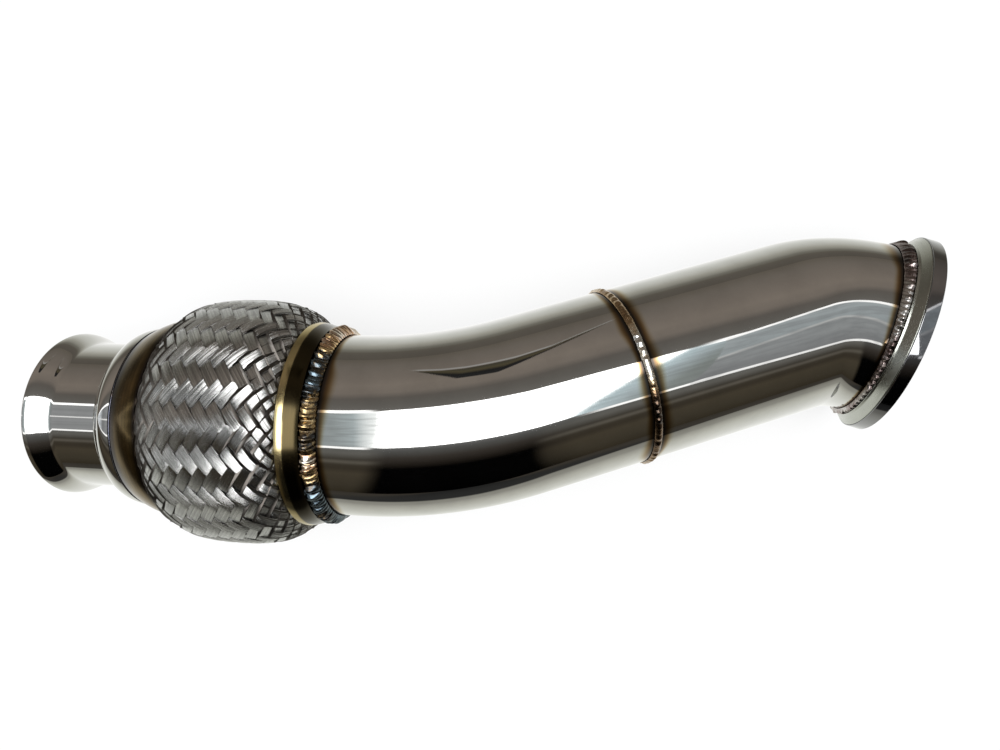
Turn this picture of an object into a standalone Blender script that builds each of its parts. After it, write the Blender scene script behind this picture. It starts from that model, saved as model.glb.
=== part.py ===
"""Turbo downpipe: a braided flex coupling, two mandrel-bent tubes and a V-band flange, welded in a row.

The pipe is laid out along one centreline that starts at the inlet lip. Turned pieces are spun
round the centreline where they sit, the two tubes are extruded along it, and the braid is a
woven shell over the bellows. At the end the whole pipe is laid down on its braid and flange.
"""
import math

import bmesh
import bpy
import numpy as np
from mathutils import Matrix, Vector

# Clearance between pieces that touch, and the facets round a turned piece
SEAT_GAP = 0.0003
SEGMENTS = 32
HIDDEN_SEGMENTS = 20
SMOOTH_ANGLE = math.radians(40.0)

# Main tube
TUBE_OD = 0.0762
TUBE_WALL = 0.00165

# Lengths along the pipe, in order from the inlet lip
REDUCER_START = 0.0300
REDUCER_LENGTH = 0.0118
INLET_COLLAR_LENGTH = 0.0138
BRAID_LENGTH = 0.0561
OUTLET_COLLAR_LENGTH = 0.0088
RUN_TO_BEND = 0.0123
RUN_TO_JOINT = 0.0466
RUN_FROM_JOINT = 0.0823
RUN_TO_FLANGE = 0.0012
BEND1_RADIUS = 0.1524
BEND1_ANGLE = math.radians(24.5)
BEND2_RADIUS = 0.0555
BEND2_ANGLE = math.radians(39.4)
BEND_TWIST = math.radians(-165.0)
BEND_STEPS_PER_RADIAN = 9.5

# Stations along the pipe that follow from those lengths
INLET_COLLAR_START = REDUCER_START + REDUCER_LENGTH
INLET_COLLAR_END = INLET_COLLAR_START + INLET_COLLAR_LENGTH
OUTLET_COLLAR_START = INLET_COLLAR_END + BRAID_LENGTH
OUTLET_COLLAR_END = OUTLET_COLLAR_START + OUTLET_COLLAR_LENGTH
BEND1_START = OUTLET_COLLAR_END + RUN_TO_BEND
BEND1_END = BEND1_START + BEND1_RADIUS * BEND1_ANGLE
MID_JOINT = BEND1_END + RUN_TO_JOINT
BEND2_START = MID_JOINT + RUN_FROM_JOINT
BEND2_END = BEND2_START + BEND2_RADIUS * BEND2_ANGLE
FLANGE_START = BEND2_END + RUN_TO_FLANGE

# Collars that hold the braid: the outlet one sits on the tube and both are as wide at the braid
COLLAR_WALL = 0.0015
OUTLET_COLLAR_LEDGE = 0.0035
OUTLET_COLLAR_CROWN = 0.0017
OUTLET_COLLAR_NECK = 0.0035
OUTLET_COLLAR_END_OD = TUBE_OD + 2 * OUTLET_COLLAR_LEDGE
COLLAR_OD = OUTLET_COLLAR_END_OD + 2 * OUTLET_COLLAR_CROWN
INLET_COLLAR_DOME = 0.0041

# Reducer cap, from the stub up to the seam where it meets the inlet collar
REDUCER_LAND = 0.0020
REDUCER_WALL = 0.0014
REDUCER_RISE = 0.00745
SEAM_OD = COLLAR_OD - 2 * INLET_COLLAR_DOME
SEAM_WIDTH = 0.0007
SEAM_CROWN = 0.0004

# Inlet stub with its flared lip
STUB_OD = SEAM_OD - 2 * REDUCER_RISE
STUB_WALL = 0.0016
STUB_INSERT = 0.0090
STUB_LENGTH = REDUCER_START + STUB_INSERT
LIP_FLARE = 0.00405
LIP_LENGTH = 0.0105
LIP_ROUND = 0.0006

# Braid
BRAID_BULGE = 0.0089
BRAID_RIBBONS = 40
BRAID_STEPS = 22
BRAID_RELIEF = 0.0009
BRAID_WALL = 0.0009
BRAID_SLEEVE = 0.0035
BARREL_SHARPNESS = 3.0
BARREL_FULLNESS = 0.72
FLOAT_LENGTH_SHARE = 0.82
FLOAT_WIDTH_SHARE = 0.76
INNER_SHARES = (0.0, 0.05, 0.12, 0.3, 0.5, 0.7, 0.88, 0.95, 1.0)

# Bellows and liner inside the braid
BELLOWS_WALL = 0.0006
BELLOWS_DEPTH = 0.0076
BELLOWS_CLEARANCE = 0.0012
BELLOWS_FOLDS = 8
BELLOWS_CUFF = 0.0050
LINER_WALL = 0.0008
LINER_RIDGE = 0.0010
LINER_RIDGES = 3

# Weld beads
COLLAR_BEAD_WIDTH = 0.0052
COLLAR_BEAD_HEIGHT = 0.0032
MID_BEAD_WIDTH = 0.0034
MID_BEAD_HEIGHT = 0.0011
FLANGE_BEAD_WIDTH = 0.0040
FLANGE_BEAD_HEIGHT = 0.0020
JOINT_GAP = 0.0003

# V-band flange
FLANGE_HUB_WALL = 0.0023
FLANGE_SHOULDER = 0.0039
FLANGE_HUB_OD = TUBE_OD + 2 * FLANGE_HUB_WALL
FLANGE_OD = FLANGE_HUB_OD + 2 * FLANGE_SHOULDER
FLANGE_HUB_LENGTH = 0.0010
FLANGE_RIM_WIDTH = 0.0052
FLANGE_BACK_ANGLE = math.radians(38.5)
FLANGE_EDGE = 0.0005
FLANGE_SOCKET = 0.0050
FLANGE_RECESS_WIDTH = 0.0037
FLANGE_RECESS_DEPTH = 0.0016

# The side that faces up when the pipe lies down, as a turn round the inlet axis
REST_TURN = math.radians(134.0)


def clear_scene():
    """Removes every object of the open file."""
    for obj in list(bpy.data.objects):
        bpy.data.objects.remove(obj, do_unlink=True)


def metal(name, colour, roughness):
    """Returns a metallic Principled material.

    Args:
        name: The material's name.
        colour: Its base colour as red, green and blue.
        roughness: Its roughness from 0 to 1.
    """
    material = bpy.data.materials.new(name)
    material.use_nodes = True
    shader = material.node_tree.nodes["Principled BSDF"]
    shader.inputs["Base Color"].default_value = (*colour, 1.0)
    shader.inputs["Metallic"].default_value = 1.0
    shader.inputs["Roughness"].default_value = roughness
    material.diffuse_color = (*colour, 1.0)
    return material


def bend_matrix(radius, side, angle):
    """Returns the move round a bend from its start.

    Args:
        radius: Radius of the bend's centreline.
        side: Turn round the tube's axis of the side that the bend leans to, 0 for local +Y.
        angle: Angle travelled along the bend.
    """
    turn = Matrix.Rotation(side, 4, "X")
    centre = Matrix.Translation((0.0, radius, 0.0))
    return turn @ centre @ Matrix.Rotation(angle, 4, "Z") @ centre.inverted() @ turn.inverted()


def frame_at(station):
    """Returns the centreline's frame at a distance from the lip: +X is along the pipe."""
    runs = [
        ("straight", BEND1_START, None),
        ("bend", BEND1_END - BEND1_START, (BEND1_RADIUS, 0.0)),
        ("straight", BEND2_START - BEND1_END, None),
        ("bend", BEND2_END - BEND2_START, (BEND2_RADIUS, BEND_TWIST)),
        ("straight", math.inf, None),
    ]
    frame = Matrix.Identity(4)
    left = station
    for kind, length, shape in runs:
        travel = min(left, length)
        if kind == "straight":
            frame = frame @ Matrix.Translation((travel, 0.0, 0.0))
        else:
            radius, side = shape
            frame = frame @ bend_matrix(radius, side, travel / radius)
        left -= travel
        if left <= 0.0:
            break
    return frame


def tube_stations(start, end):
    """Returns the stations between two ends where a tube needs a ring."""
    stations = {start, end}
    for first, last, angle in (
        (BEND1_START, BEND1_END, BEND1_ANGLE),
        (BEND2_START, BEND2_END, BEND2_ANGLE),
    ):
        steps = max(3, round(angle * BEND_STEPS_PER_RADIAN))
        for ring in np.linspace(first, last, steps + 1):
            if start < ring < end:
                stations.add(float(ring))
    return sorted(stations)


def finish(bm, name, material, frame):
    """Turns a bmesh into a named object, shaded smooth, that stands at a frame of the pipe.

    Args:
        bm: The finished mesh, in the frame's own coordinates.
        name: The object's name.
        material: Its material.
        frame: The matrix that places it.
    """
    bmesh.ops.recalc_face_normals(bm, faces=bm.faces)
    mesh = bpy.data.meshes.new(name)
    bm.to_mesh(mesh)
    bm.free()
    mesh.materials.append(material)
    mesh.shade_smooth()
    mesh.set_sharp_from_angle(angle=SMOOTH_ANGLE)
    obj = bpy.data.objects.new(name, mesh)
    bpy.context.collection.objects.link(obj)
    obj.matrix_local = frame
    return obj


def turned(name, outline, station, material, segments=SEGMENTS):
    """Spins a closed outline round the centreline.

    Args:
        name: The object's name.
        outline: Corners of the section as (distance along the axis, radius).
        station: Station of the outline's zero distance.
        material: The object's material.
        segments: Facets round the axis.
    """
    bm = bmesh.new()
    verts = [bm.verts.new((along, radius, 0.0)) for along, radius in outline]
    edges = [bm.edges.new((a, b)) for a, b in zip(verts, verts[1:] + verts[:1])]
    bmesh.ops.spin(
        bm,
        geom=verts + edges,
        cent=(0.0, 0.0, 0.0),
        axis=(1.0, 0.0, 0.0),
        angle=math.tau,
        steps=segments,
        use_merge=True,
        use_duplicate=False,
    )
    return finish(bm, name, material, frame_at(station))


def ring_of(bm, radius):
    """Adds a circle of edges round the X axis and returns its edges."""
    made = bmesh.ops.create_circle(
        bm,
        segments=SEGMENTS,
        radius=radius,
        matrix=Matrix.Rotation(math.pi / 2, 4, "Y"),
    )
    edges = {edge for vert in made["verts"] for edge in vert.link_edges}
    return list(edges)


def bent_tube(name, start, end, material):
    """Extrudes the main tube's section along the centreline between two stations."""
    bm = bmesh.new()
    home = frame_at(start)
    outer_start = ring_of(bm, TUBE_OD / 2)
    inner_start = ring_of(bm, TUBE_OD / 2 - TUBE_WALL)
    bmesh.ops.bridge_loops(bm, edges=outer_start + inner_start)
    front = outer_start + inner_start
    stations = tube_stations(start, end)
    for here, there in zip(stations, stations[1:]):
        step = home.inverted() @ frame_at(there) @ frame_at(here).inverted() @ home
        made = bmesh.ops.extrude_edge_only(bm, edges=front)["geom"]
        verts = [item for item in made if isinstance(item, bmesh.types.BMVert)]
        front = [item for item in made if isinstance(item, bmesh.types.BMEdge)]
        front = [edge for edge in front if all(vert in set(verts) for vert in edge.verts)]
        bmesh.ops.transform(bm, matrix=step, verts=verts)
    bmesh.ops.bridge_loops(bm, edges=front)
    return finish(bm, name, material, home)


def walled(outer, wall):
    """Closes an outer line into the section of a formed sheet.

    Args:
        outer: Points as (distance, radius) from one end to the other.
        wall: Sheet thickness, set off square to the line on its inner side, the ends cut square.
    """
    line = np.array(outer)
    slope = np.gradient(line, axis=0)
    slope /= np.linalg.norm(slope, axis=1)[:, None]
    square = np.stack([slope[:, 1], -slope[:, 0]], axis=1)
    square[[0, -1]] = (0.0, -1.0)
    inner = line + wall * square
    return [tuple(point) for point in line] + [tuple(point) for point in inner[::-1]]


def inlet_stub(material):
    """Makes the inlet tube with its lip flared out, its end cut square and rounded outside."""
    plain = STUB_OD / 2
    lip = plain + LIP_FLARE
    outer = [
        (LIP_ROUND * (1 - math.cos(turn)), lip - LIP_ROUND * (1 - math.sin(turn)))
        for turn in np.linspace(0.0, math.pi / 2, 3)
    ]
    for share in (0.3, 0.6, 1.0):
        along = LIP_ROUND + share * (LIP_LENGTH - LIP_ROUND)
        outer.append((along, plain + (lip - plain) * (1 + math.cos(share * math.pi)) / 2))
    outer.append((STUB_LENGTH, plain))
    inner = [(along, radius - STUB_WALL) for along, radius in reversed(outer[2:])]
    inner.append((0.0, lip - STUB_WALL))
    return turned("inlet_stub", outer + inner, 0.0, material)


def inlet_reducer(material):
    """Makes the spun cap that grows from the stub to the seam."""
    nose = STUB_OD / 2 + SEAT_GAP + REDUCER_WALL
    length = REDUCER_LENGTH - SEAM_WIDTH / 2 - SEAT_GAP
    outer = [(0.0, nose), (REDUCER_LAND, nose)]
    for turn in np.linspace(math.radians(24.0), math.pi / 2, 3):
        along = REDUCER_LAND + (length - REDUCER_LAND) * (1 - math.cos(turn))
        outer.append((along, nose + (SEAM_OD / 2 - nose) * math.sin(turn)))
    return turned("inlet_reducer", walled(outer, REDUCER_WALL), REDUCER_START, material)


def inlet_seam_weld(material):
    """Makes the thin fused seam between the reducer and the inlet collar."""
    outer = SEAM_OD / 2
    half = SEAM_WIDTH / 2
    outline = [
        (-half, outer),
        (0.0, outer + SEAM_CROWN),
        (half, outer),
        (half, outer - COLLAR_WALL),
        (-half, outer - COLLAR_WALL),
    ]
    return turned("inlet_seam_weld", outline, INLET_COLLAR_START, material)


def inlet_collar_radius(along):
    """Returns the inlet collar's outer radius at a distance from its start."""
    length = INLET_COLLAR_LENGTH
    share = min(max(along / length, 0.0), 1.0)
    return SEAM_OD / 2 + (COLLAR_OD - SEAM_OD) / 2 * math.sin(share * math.pi / 2)


def inlet_collar(material):
    """Makes the domed collar over the braid's inlet end."""
    start = SEAM_WIDTH / 2 + SEAT_GAP
    length = INLET_COLLAR_LENGTH
    stations = np.linspace(start, length, 5)
    outer = [(along, inlet_collar_radius(along)) for along in stations]
    inner = [(along, radius - COLLAR_WALL) for along, radius in reversed(outer)]
    return turned("inlet_collar", outer + inner, INLET_COLLAR_START, material)


def outlet_collar_radius(along):
    """Returns the outlet collar's outer radius: a full round at the braid, then a shallow valley."""
    length = OUTLET_COLLAR_LENGTH
    share = min(max(along / length, 0.0), 1.0)
    drop = (COLLAR_OD - OUTLET_COLLAR_END_OD) / 2
    return COLLAR_OD / 2 - drop * (1 - math.cos(share * math.pi)) / 2


def outlet_collar(material):
    """Makes the collar over the braid's outlet end, turned in to sit on the tube."""
    length = OUTLET_COLLAR_LENGTH
    neck = length - OUTLET_COLLAR_NECK
    outer = [(along, outlet_collar_radius(along)) for along in np.linspace(0.0, length, 5)]
    inner = [(neck, outlet_collar_radius(neck) - COLLAR_WALL), (0.0, COLLAR_OD / 2 - COLLAR_WALL)]
    seat = TUBE_OD / 2 + SEAT_GAP
    outline = outer + [(length, seat), (neck, seat)] + inner
    return turned("outlet_collar", outline, OUTLET_COLLAR_START, material)


def barrel_radius(share):
    """Returns the braid's outer radius at a share of the way between the collars."""
    edge = COLLAR_OD / 2 - COLLAR_WALL - SEAT_GAP
    bulge = COLLAR_OD / 2 + BRAID_BULGE - edge
    rise = 1 - abs(2 * share - 1) ** BARREL_SHARPNESS
    return edge + bulge * max(rise, 0.0) ** BARREL_FULLNESS


def barrel_shares():
    """Returns the share of the way for each step of the weave, even along the curved surface."""
    fine = np.linspace(0.0, 1.0, 801)
    length = BRAID_LENGTH
    radii = np.array([barrel_radius(share) for share in fine])
    steps = np.hypot(np.diff(fine) * length, np.diff(radii))
    travel = np.concatenate([[0.0], np.cumsum(steps)])
    return np.interp(np.linspace(0.0, travel[-1], BRAID_STEPS + 1), travel, fine)


def sleeve_radii():
    """Returns the braid's outer radius at its inlet and outlet ends, under the collars."""
    inlet = inlet_collar_radius(INLET_COLLAR_LENGTH - BRAID_SLEEVE) - COLLAR_WALL - SEAT_GAP
    outlet = outlet_collar_radius(BRAID_SLEEVE) - COLLAR_WALL - 2 * SEAT_GAP
    return inlet, outlet


def braid_bore():
    """Returns the smallest radius inside the braid."""
    return min(*sleeve_radii(), barrel_radius(0.0) - BRAID_RELIEF) - BRAID_WALL


class Weave:
    """The braid's mesh: corners of a diamond lattice, with a raised float over every two cells.

    Column m lies at m half pitches round the axis and row q at q steps along it. A crossing of
    two ribbons lies where m + q is even, and a corner of its cell where m + q is odd.
    """

    def __init__(self):
        self.bm = bmesh.new()
        self.shares = barrel_shares()
        self.columns = 2 * BRAID_RIBBONS
        self.corners = {}

    def point(self, column, row, lift):
        """Returns the place of a lattice point, lifted off the grooves."""
        share = float(np.interp(row, np.arange(BRAID_STEPS + 1), self.shares))
        angle = math.pi * column / BRAID_RIBBONS
        radius = barrel_radius(share) - BRAID_RELIEF + lift
        along = share * BRAID_LENGTH
        return Vector((along, radius * math.cos(angle), radius * math.sin(angle)))

    def corner(self, column, row):
        """Returns the vertex at a lattice corner, made once."""
        key = (column % self.columns, row)
        if key not in self.corners:
            self.corners[key] = self.bm.verts.new(self.point(column, row, 0.0))
        return self.corners[key]

    def float_over(self, column, row, lean):
        """Raises a flat-topped float over the crossing and its neighbour one column on.

        Args:
            column: Column of the first crossing.
            row: Row of the first crossing.
            lean: 1 when the ribbon runs on to the next row, -1 when it runs back.
        """
        low = self.corner(column, row - lean)
        low_middle = self.corner(column + 1, row)
        low_end = self.corner(column + 2, row + lean)
        high_end = self.corner(column + 1, row + 2 * lean)
        high_middle = self.corner(column, row + lean)
        high = self.corner(column - 1, row)
        tops = []
        for along, across in ((-1, 1), (1, 1), (1, -1), (-1, -1)):
            length = along * FLOAT_LENGTH_SHARE
            width = across * FLOAT_WIDTH_SHARE / 2
            place_column = column + 0.5 + length + width
            place_row = row + lean * (0.5 + length - width)
            tops.append(self.bm.verts.new(self.point(place_column, place_row, BRAID_RELIEF)))
        faces = [
            (low, low_middle, tops[0]),
            (low_middle, tops[1], tops[0]),
            (low_middle, low_end, tops[1]),
            (low_end, high_end, tops[2], tops[1]),
            (high_end, high_middle, tops[2]),
            (high_middle, tops[3], tops[2]),
            (high_middle, high, tops[3]),
            (high, low, tops[0], tops[3]),
            (tops[0], tops[1], tops[2], tops[3]),
        ]
        for face in faces:
            self.bm.faces.new(face if lean > 0 else face[::-1])

    def flat_cell(self, column, row):
        """Fills a single cell, or the half of it that lies on the weave's edge."""
        left = self.corner(column - 1, row)
        right = self.corner(column + 1, row)
        if row > 0:
            self.bm.faces.new((left, self.corner(column, row - 1), right))
        if row < BRAID_STEPS:
            self.bm.faces.new((left, right, self.corner(column, row + 1)))

    def ring(self, along, radius):
        """Adds a plain ring of vertices in line with the corners at the weave's edges."""
        angles = [math.pi * (2 * index + 1) / BRAID_RIBBONS for index in range(BRAID_RIBBONS)]
        return [
            self.bm.verts.new((along, radius * math.cos(angle), radius * math.sin(angle)))
            for angle in angles
        ]

    def join(self, first, second):
        """Fills the band between two rings."""
        for index in range(BRAID_RIBBONS):
            after = (index + 1) % BRAID_RIBBONS
            self.bm.faces.new((first[index], first[after], second[after], second[index]))

    def weave(self):
        """Lays the floats of both ribbon directions and the plain cells at the ends."""
        for group in range(0, self.columns, 4):
            for row in range(2, BRAID_STEPS - 1, 2):
                self.float_over(group, row, 1)
                self.float_over(group + 2, row, -1)
            self.flat_cell(group + 1, 1)
            self.flat_cell(group + 3, BRAID_STEPS - 1)
            for column in (group, group + 2):
                self.flat_cell(column, 0)
                self.flat_cell(column, BRAID_STEPS)

    def close(self):
        """Adds the sleeves under the collars and the plain inner side."""
        length = BRAID_LENGTH
        lining = BRAID_RELIEF + BRAID_WALL
        under_inlet, under_outlet = sleeve_radii()
        start = [self.corner(2 * index + 1, 0) for index in range(BRAID_RIBBONS)]
        end = [self.corner(2 * index + 1, BRAID_STEPS) for index in range(BRAID_RIBBONS)]
        rings = [
            start,
            self.ring(-BRAID_SLEEVE, under_inlet),
            self.ring(-BRAID_SLEEVE, under_inlet - BRAID_WALL),
        ]
        for share in INNER_SHARES:
            rings.append(self.ring(share * length, barrel_radius(share) - lining))
        rings.append(self.ring(length + BRAID_SLEEVE, under_outlet - BRAID_WALL))
        rings.append(self.ring(length + BRAID_SLEEVE, under_outlet))
        rings.append(end)
        for first, second in zip(rings, rings[1:]):
            self.join(first, second)


def braid(material):
    """Makes the woven wire sleeve that bulges between the collars."""
    shell = Weave()
    shell.weave()
    shell.close()
    return finish(shell.bm, "braid", material, frame_at(INLET_COLLAR_END))


def bellows(material):
    """Makes the folded tube that carries the gas through the flex."""
    cuff = braid_bore() - SEAT_GAP
    crest = cuff + BELLOWS_DEPTH
    start = INLET_COLLAR_END - BRAID_SLEEVE
    length = OUTLET_COLLAR_START + BRAID_SLEEVE - start
    pitch = (length - 2 * BELLOWS_CUFF) / BELLOWS_FOLDS
    outer = [(0.0, cuff), (BELLOWS_CUFF, cuff)]
    for index in range(BELLOWS_FOLDS):
        left = BELLOWS_CUFF + index * pitch
        top = left + pitch / 2
        share = (top - BRAID_SLEEVE) / BRAID_LENGTH
        room = barrel_radius(share) - BRAID_RELIEF - BRAID_WALL - BELLOWS_CLEARANCE
        outer.append((top, min(crest, room)))
        if index < BELLOWS_FOLDS - 1:
            outer.append((left + pitch, cuff))
    outer += [(length - BELLOWS_CUFF, cuff), (length, cuff)]
    inner = [(along, radius - BELLOWS_WALL) for along, radius in reversed(outer)]
    return turned("bellows", outer + inner, start, material, HIDDEN_SEGMENTS)


def liner(material):
    """Makes the inner liner, a sleeve with raised lock ridges, between the seam and the tube."""
    start = INLET_COLLAR_START + SEAM_WIDTH / 2 + SEAT_GAP
    end = OUTLET_COLLAR_START + BRAID_SLEEVE + SEAT_GAP - BELLOWS_CUFF / 2
    radius = SEAM_OD / 2 - COLLAR_WALL - SEAT_GAP
    length = end - start
    outer = [(0.0, radius)]
    for index in range(LINER_RIDGES):
        middle = length * (index + 1) / (LINER_RIDGES + 1)
        outer.append((middle - LINER_RIDGE, radius))
        outer.append((middle, radius + LINER_RIDGE))
        outer.append((middle + LINER_RIDGE, radius))
    outer.append((length, radius))
    inner = [(length, radius - LINER_WALL), (0.0, radius - LINER_WALL)]
    return turned("liner", outer + inner, start, material, HIDDEN_SEGMENTS)


def bead_outline(width, height, land):
    """Returns the section of a domed weld bead that lies on a tube.

    Args:
        width: Width along the tube.
        height: Height of its crown over the tube's surface.
        land: Radius of the surface it lies on, with its clearance.
    """
    return [
        (-width / 2 * math.cos(turn), land + height * math.sin(turn))
        for turn in np.linspace(0.0, math.pi, 5)
    ]


def fillet_outline(width, height, land):
    """Returns the section of a full fillet bead whose upright side leans on a collar or hub."""
    crown = [
        (width * (1 - math.cos(turn)), land + height * math.cos(turn - math.radians(18.0)))
        for turn in np.linspace(0.0, math.pi / 2, 3)
    ]
    return [(0.0, land)] + crown + [(width, land)]


def collar_weld(material):
    """Makes the fat bead between the outlet collar and the tube."""
    land = TUBE_OD / 2 + SEAT_GAP
    outline = fillet_outline(COLLAR_BEAD_WIDTH, COLLAR_BEAD_HEIGHT, land)
    return turned("collar_weld", outline, OUTLET_COLLAR_END + SEAT_GAP, material)


def mid_weld(material):
    """Makes the low bead over the joint of the two tubes."""
    outline = bead_outline(MID_BEAD_WIDTH, MID_BEAD_HEIGHT, TUBE_OD / 2 + SEAT_GAP)
    return turned("mid_weld", outline, MID_JOINT, material)


def flange_weld(material):
    """Makes the bead between the second tube and the flange's hub."""
    land = TUBE_OD / 2 + SEAT_GAP
    fillet = fillet_outline(FLANGE_BEAD_WIDTH, FLANGE_BEAD_HEIGHT, land)
    outline = [(-along, radius) for along, radius in fillet]
    return turned("flange_weld", outline, FLANGE_START - SEAT_GAP, material)


def flange_length():
    """Returns the flange's length from its hub to its mating face."""
    slope = (FLANGE_OD - FLANGE_HUB_OD) / 2 * math.tan(FLANGE_BACK_ANGLE)
    return FLANGE_HUB_LENGTH + slope + FLANGE_RIM_WIDTH


def vband_flange(material):
    """Makes the flange: hub, sloped back for the clamp, rim, and a recess in its mating face."""
    length = flange_length()
    hub = FLANGE_HUB_OD / 2
    rim = FLANGE_OD / 2
    bore = TUBE_OD / 2 - TUBE_WALL
    socket = TUBE_OD / 2 + SEAT_GAP
    rim_start = length - FLANGE_RIM_WIDTH
    recess = TUBE_OD / 2 + FLANGE_RECESS_WIDTH
    outline = [
        (0.0, hub),
        (FLANGE_HUB_LENGTH, hub),
        (rim_start, rim),
        (length - FLANGE_EDGE, rim),
        (length, rim - FLANGE_EDGE),
        (length, recess),
        (length - FLANGE_RECESS_DEPTH, recess),
        (length - FLANGE_RECESS_DEPTH, bore),
        (FLANGE_SOCKET, bore),
        (FLANGE_SOCKET, socket),
        (0.0, socket),
    ]
    return turned("vband_flange", outline, FLANGE_START, material)


def volume_centre(points, triangles):
    """Returns a closed mesh's volume and the sum of its volume moments.

    Args:
        points: The vertices as rows of an array.
        triangles: Three vertex numbers for each facet.
    """
    a, b, c = (points[triangles[:, side]] for side in range(3))
    volumes = np.einsum("ij,ij->i", a, np.cross(b, c)) / 6
    return volumes.sum(), (volumes[:, None] * (a + b + c) / 4).sum(axis=0)


def mesh_arrays(obj):
    """Returns an object's vertices in the pipe's frame and its facets as arrays."""
    mesh = obj.data
    mesh.calc_loop_triangles()
    points = np.empty(len(mesh.vertices) * 3)
    mesh.vertices.foreach_get("co", points)
    triangles = np.empty(len(mesh.loop_triangles) * 3, dtype=np.int32)
    mesh.loop_triangles.foreach_get("vertices", triangles)
    matrix = np.array(obj.matrix_local)
    points = points.reshape(-1, 3) @ matrix[:3, :3].T + matrix[:3, 3]
    return points, triangles.reshape(-1, 3)


def stands_over(corners, centre, square):
    """Tells whether a point lies straight over a triangle."""
    for start, end in zip(corners, corners[1:] + corners[:1]):
        if (end - start).cross(centre - start).dot(square) < 0.0:
            return False
    return True


def resting_up(cloud, centre):
    """Returns the upward direction of the resting pose nearest to the chosen side.

    The pipe can rest on each face of its convex hull that its centre of mass stands over.

    Args:
        cloud: Every vertex of the pipe.
        centre: Its centre of mass.
    """
    hull = bmesh.new()
    for point in cloud:
        hull.verts.new(point)
    bmesh.ops.convex_hull(hull, input=hull.verts, use_existing_faces=False)
    wanted = Vector((0.0, math.cos(REST_TURN), math.sin(REST_TURN)))
    best = wanted
    closeness = -1.0
    for face in hull.faces:
        square = face.normal
        corners = [vert.co for vert in face.verts]
        if -square.dot(wanted) > closeness and stands_over(corners, centre, square):
            closeness = -square.dot(wanted)
            best = -square
    best = best.copy()
    hull.free()
    return best


def lay_down(objects):
    """Parents the pieces to one empty and lays it on the ground as the pipe comes to rest."""
    root = bpy.data.objects.new("downpipe", None)
    bpy.context.collection.objects.link(root)
    bpy.context.view_layer.update()
    clouds = []
    volume = 0.0
    moment = np.zeros(3)
    for obj in objects:
        points, triangles = mesh_arrays(obj)
        clouds.append(points)
        own_volume, own_moment = volume_centre(points, triangles)
        volume += own_volume
        moment += own_moment
    cloud = np.concatenate(clouds)
    up = resting_up(cloud, Vector(moment / volume))
    along = frame_at(FLANGE_START).translation
    forward = (along - up * along.dot(up)).normalized()
    turn = Matrix((forward, up.cross(forward), up))
    turned_cloud = cloud @ np.array(turn).T
    low = turned_cloud.min(axis=0)
    middle = (low + turned_cloud.max(axis=0)) / 2
    stand = Matrix.Translation((-middle[0], -middle[1], -low[2]))
    root.matrix_local = stand @ turn.to_4x4()
    for obj in objects:
        obj.parent = root


def build():
    """Builds every piece of the downpipe in order from the inlet to the outlet."""
    clear_scene()
    polished = metal("polished_steel", (0.62, 0.61, 0.60), 0.12)
    heated = metal("heat_gold_steel", (0.48, 0.37, 0.20), 0.22)
    wire = metal("braid_wire", (0.55, 0.55, 0.54), 0.32)
    thin = metal("bellows_steel", (0.50, 0.49, 0.47), 0.30)
    bead = metal("weld_bead", (0.42, 0.33, 0.22), 0.35)
    satin = metal("satin_steel", (0.42, 0.43, 0.40), 0.35)
    outlet_tube_start = OUTLET_COLLAR_START + BRAID_SLEEVE - BELLOWS_CUFF / 2 + 2 * SEAT_GAP
    pieces = [
        inlet_stub(polished),
        inlet_reducer(polished),
        inlet_seam_weld(bead),
        inlet_collar(heated),
        liner(thin),
        bellows(thin),
        braid(wire),
        outlet_collar(heated),
        collar_weld(bead),
        bent_tube("front_tube", outlet_tube_start, MID_JOINT - JOINT_GAP / 2, polished),
        mid_weld(bead),
        bent_tube(
            "rear_tube",
            MID_JOINT + JOINT_GAP / 2,
            FLANGE_START + FLANGE_SOCKET - SEAT_GAP,
            polished,
        ),
        flange_weld(bead),
        vband_flange(satin),
    ]
    lay_down(pieces)


build()
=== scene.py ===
"""Looks of a turbo downpipe: polished tubes, a woven flex coupling, weld beads and heat tints.

Every piece is a surface worked out in the pipe's own coordinates, which are the station (distance
along the centreline from the inlet lip), the radius and the angle round the centreline.
"""
import logging
import math
from dataclasses import dataclass
from enum import Enum

import bpy
import numpy as np
from mathutils import Euler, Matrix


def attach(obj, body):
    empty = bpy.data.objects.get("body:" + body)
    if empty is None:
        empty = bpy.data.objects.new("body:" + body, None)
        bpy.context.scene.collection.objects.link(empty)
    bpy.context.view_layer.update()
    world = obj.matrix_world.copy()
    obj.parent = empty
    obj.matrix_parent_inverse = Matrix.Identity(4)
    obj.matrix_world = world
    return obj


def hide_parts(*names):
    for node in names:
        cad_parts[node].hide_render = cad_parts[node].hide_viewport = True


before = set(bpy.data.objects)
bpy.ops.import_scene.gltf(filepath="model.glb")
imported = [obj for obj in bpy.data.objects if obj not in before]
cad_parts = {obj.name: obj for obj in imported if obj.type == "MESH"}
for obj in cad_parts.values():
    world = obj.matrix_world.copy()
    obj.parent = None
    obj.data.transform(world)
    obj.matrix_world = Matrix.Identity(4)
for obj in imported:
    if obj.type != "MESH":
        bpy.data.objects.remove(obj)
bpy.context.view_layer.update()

LOG = logging.getLogger("downpipe")

Array = np.ndarray
Point = tuple[float, float, float]
Colour = tuple[float, float, float]
Stops = list[tuple[float, Colour]]
Link = bpy.types.NodeSocket
Links = bpy.types.bpy_prop_collection
Value = float | Link


# ----- The pipe's route and surfaces


@dataclass(frozen=True)
class Run:
    """One stretch of the centreline: straight where radius is None, otherwise a bend."""

    length: float
    radius: float | None = None
    side: float = 0.0


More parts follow.
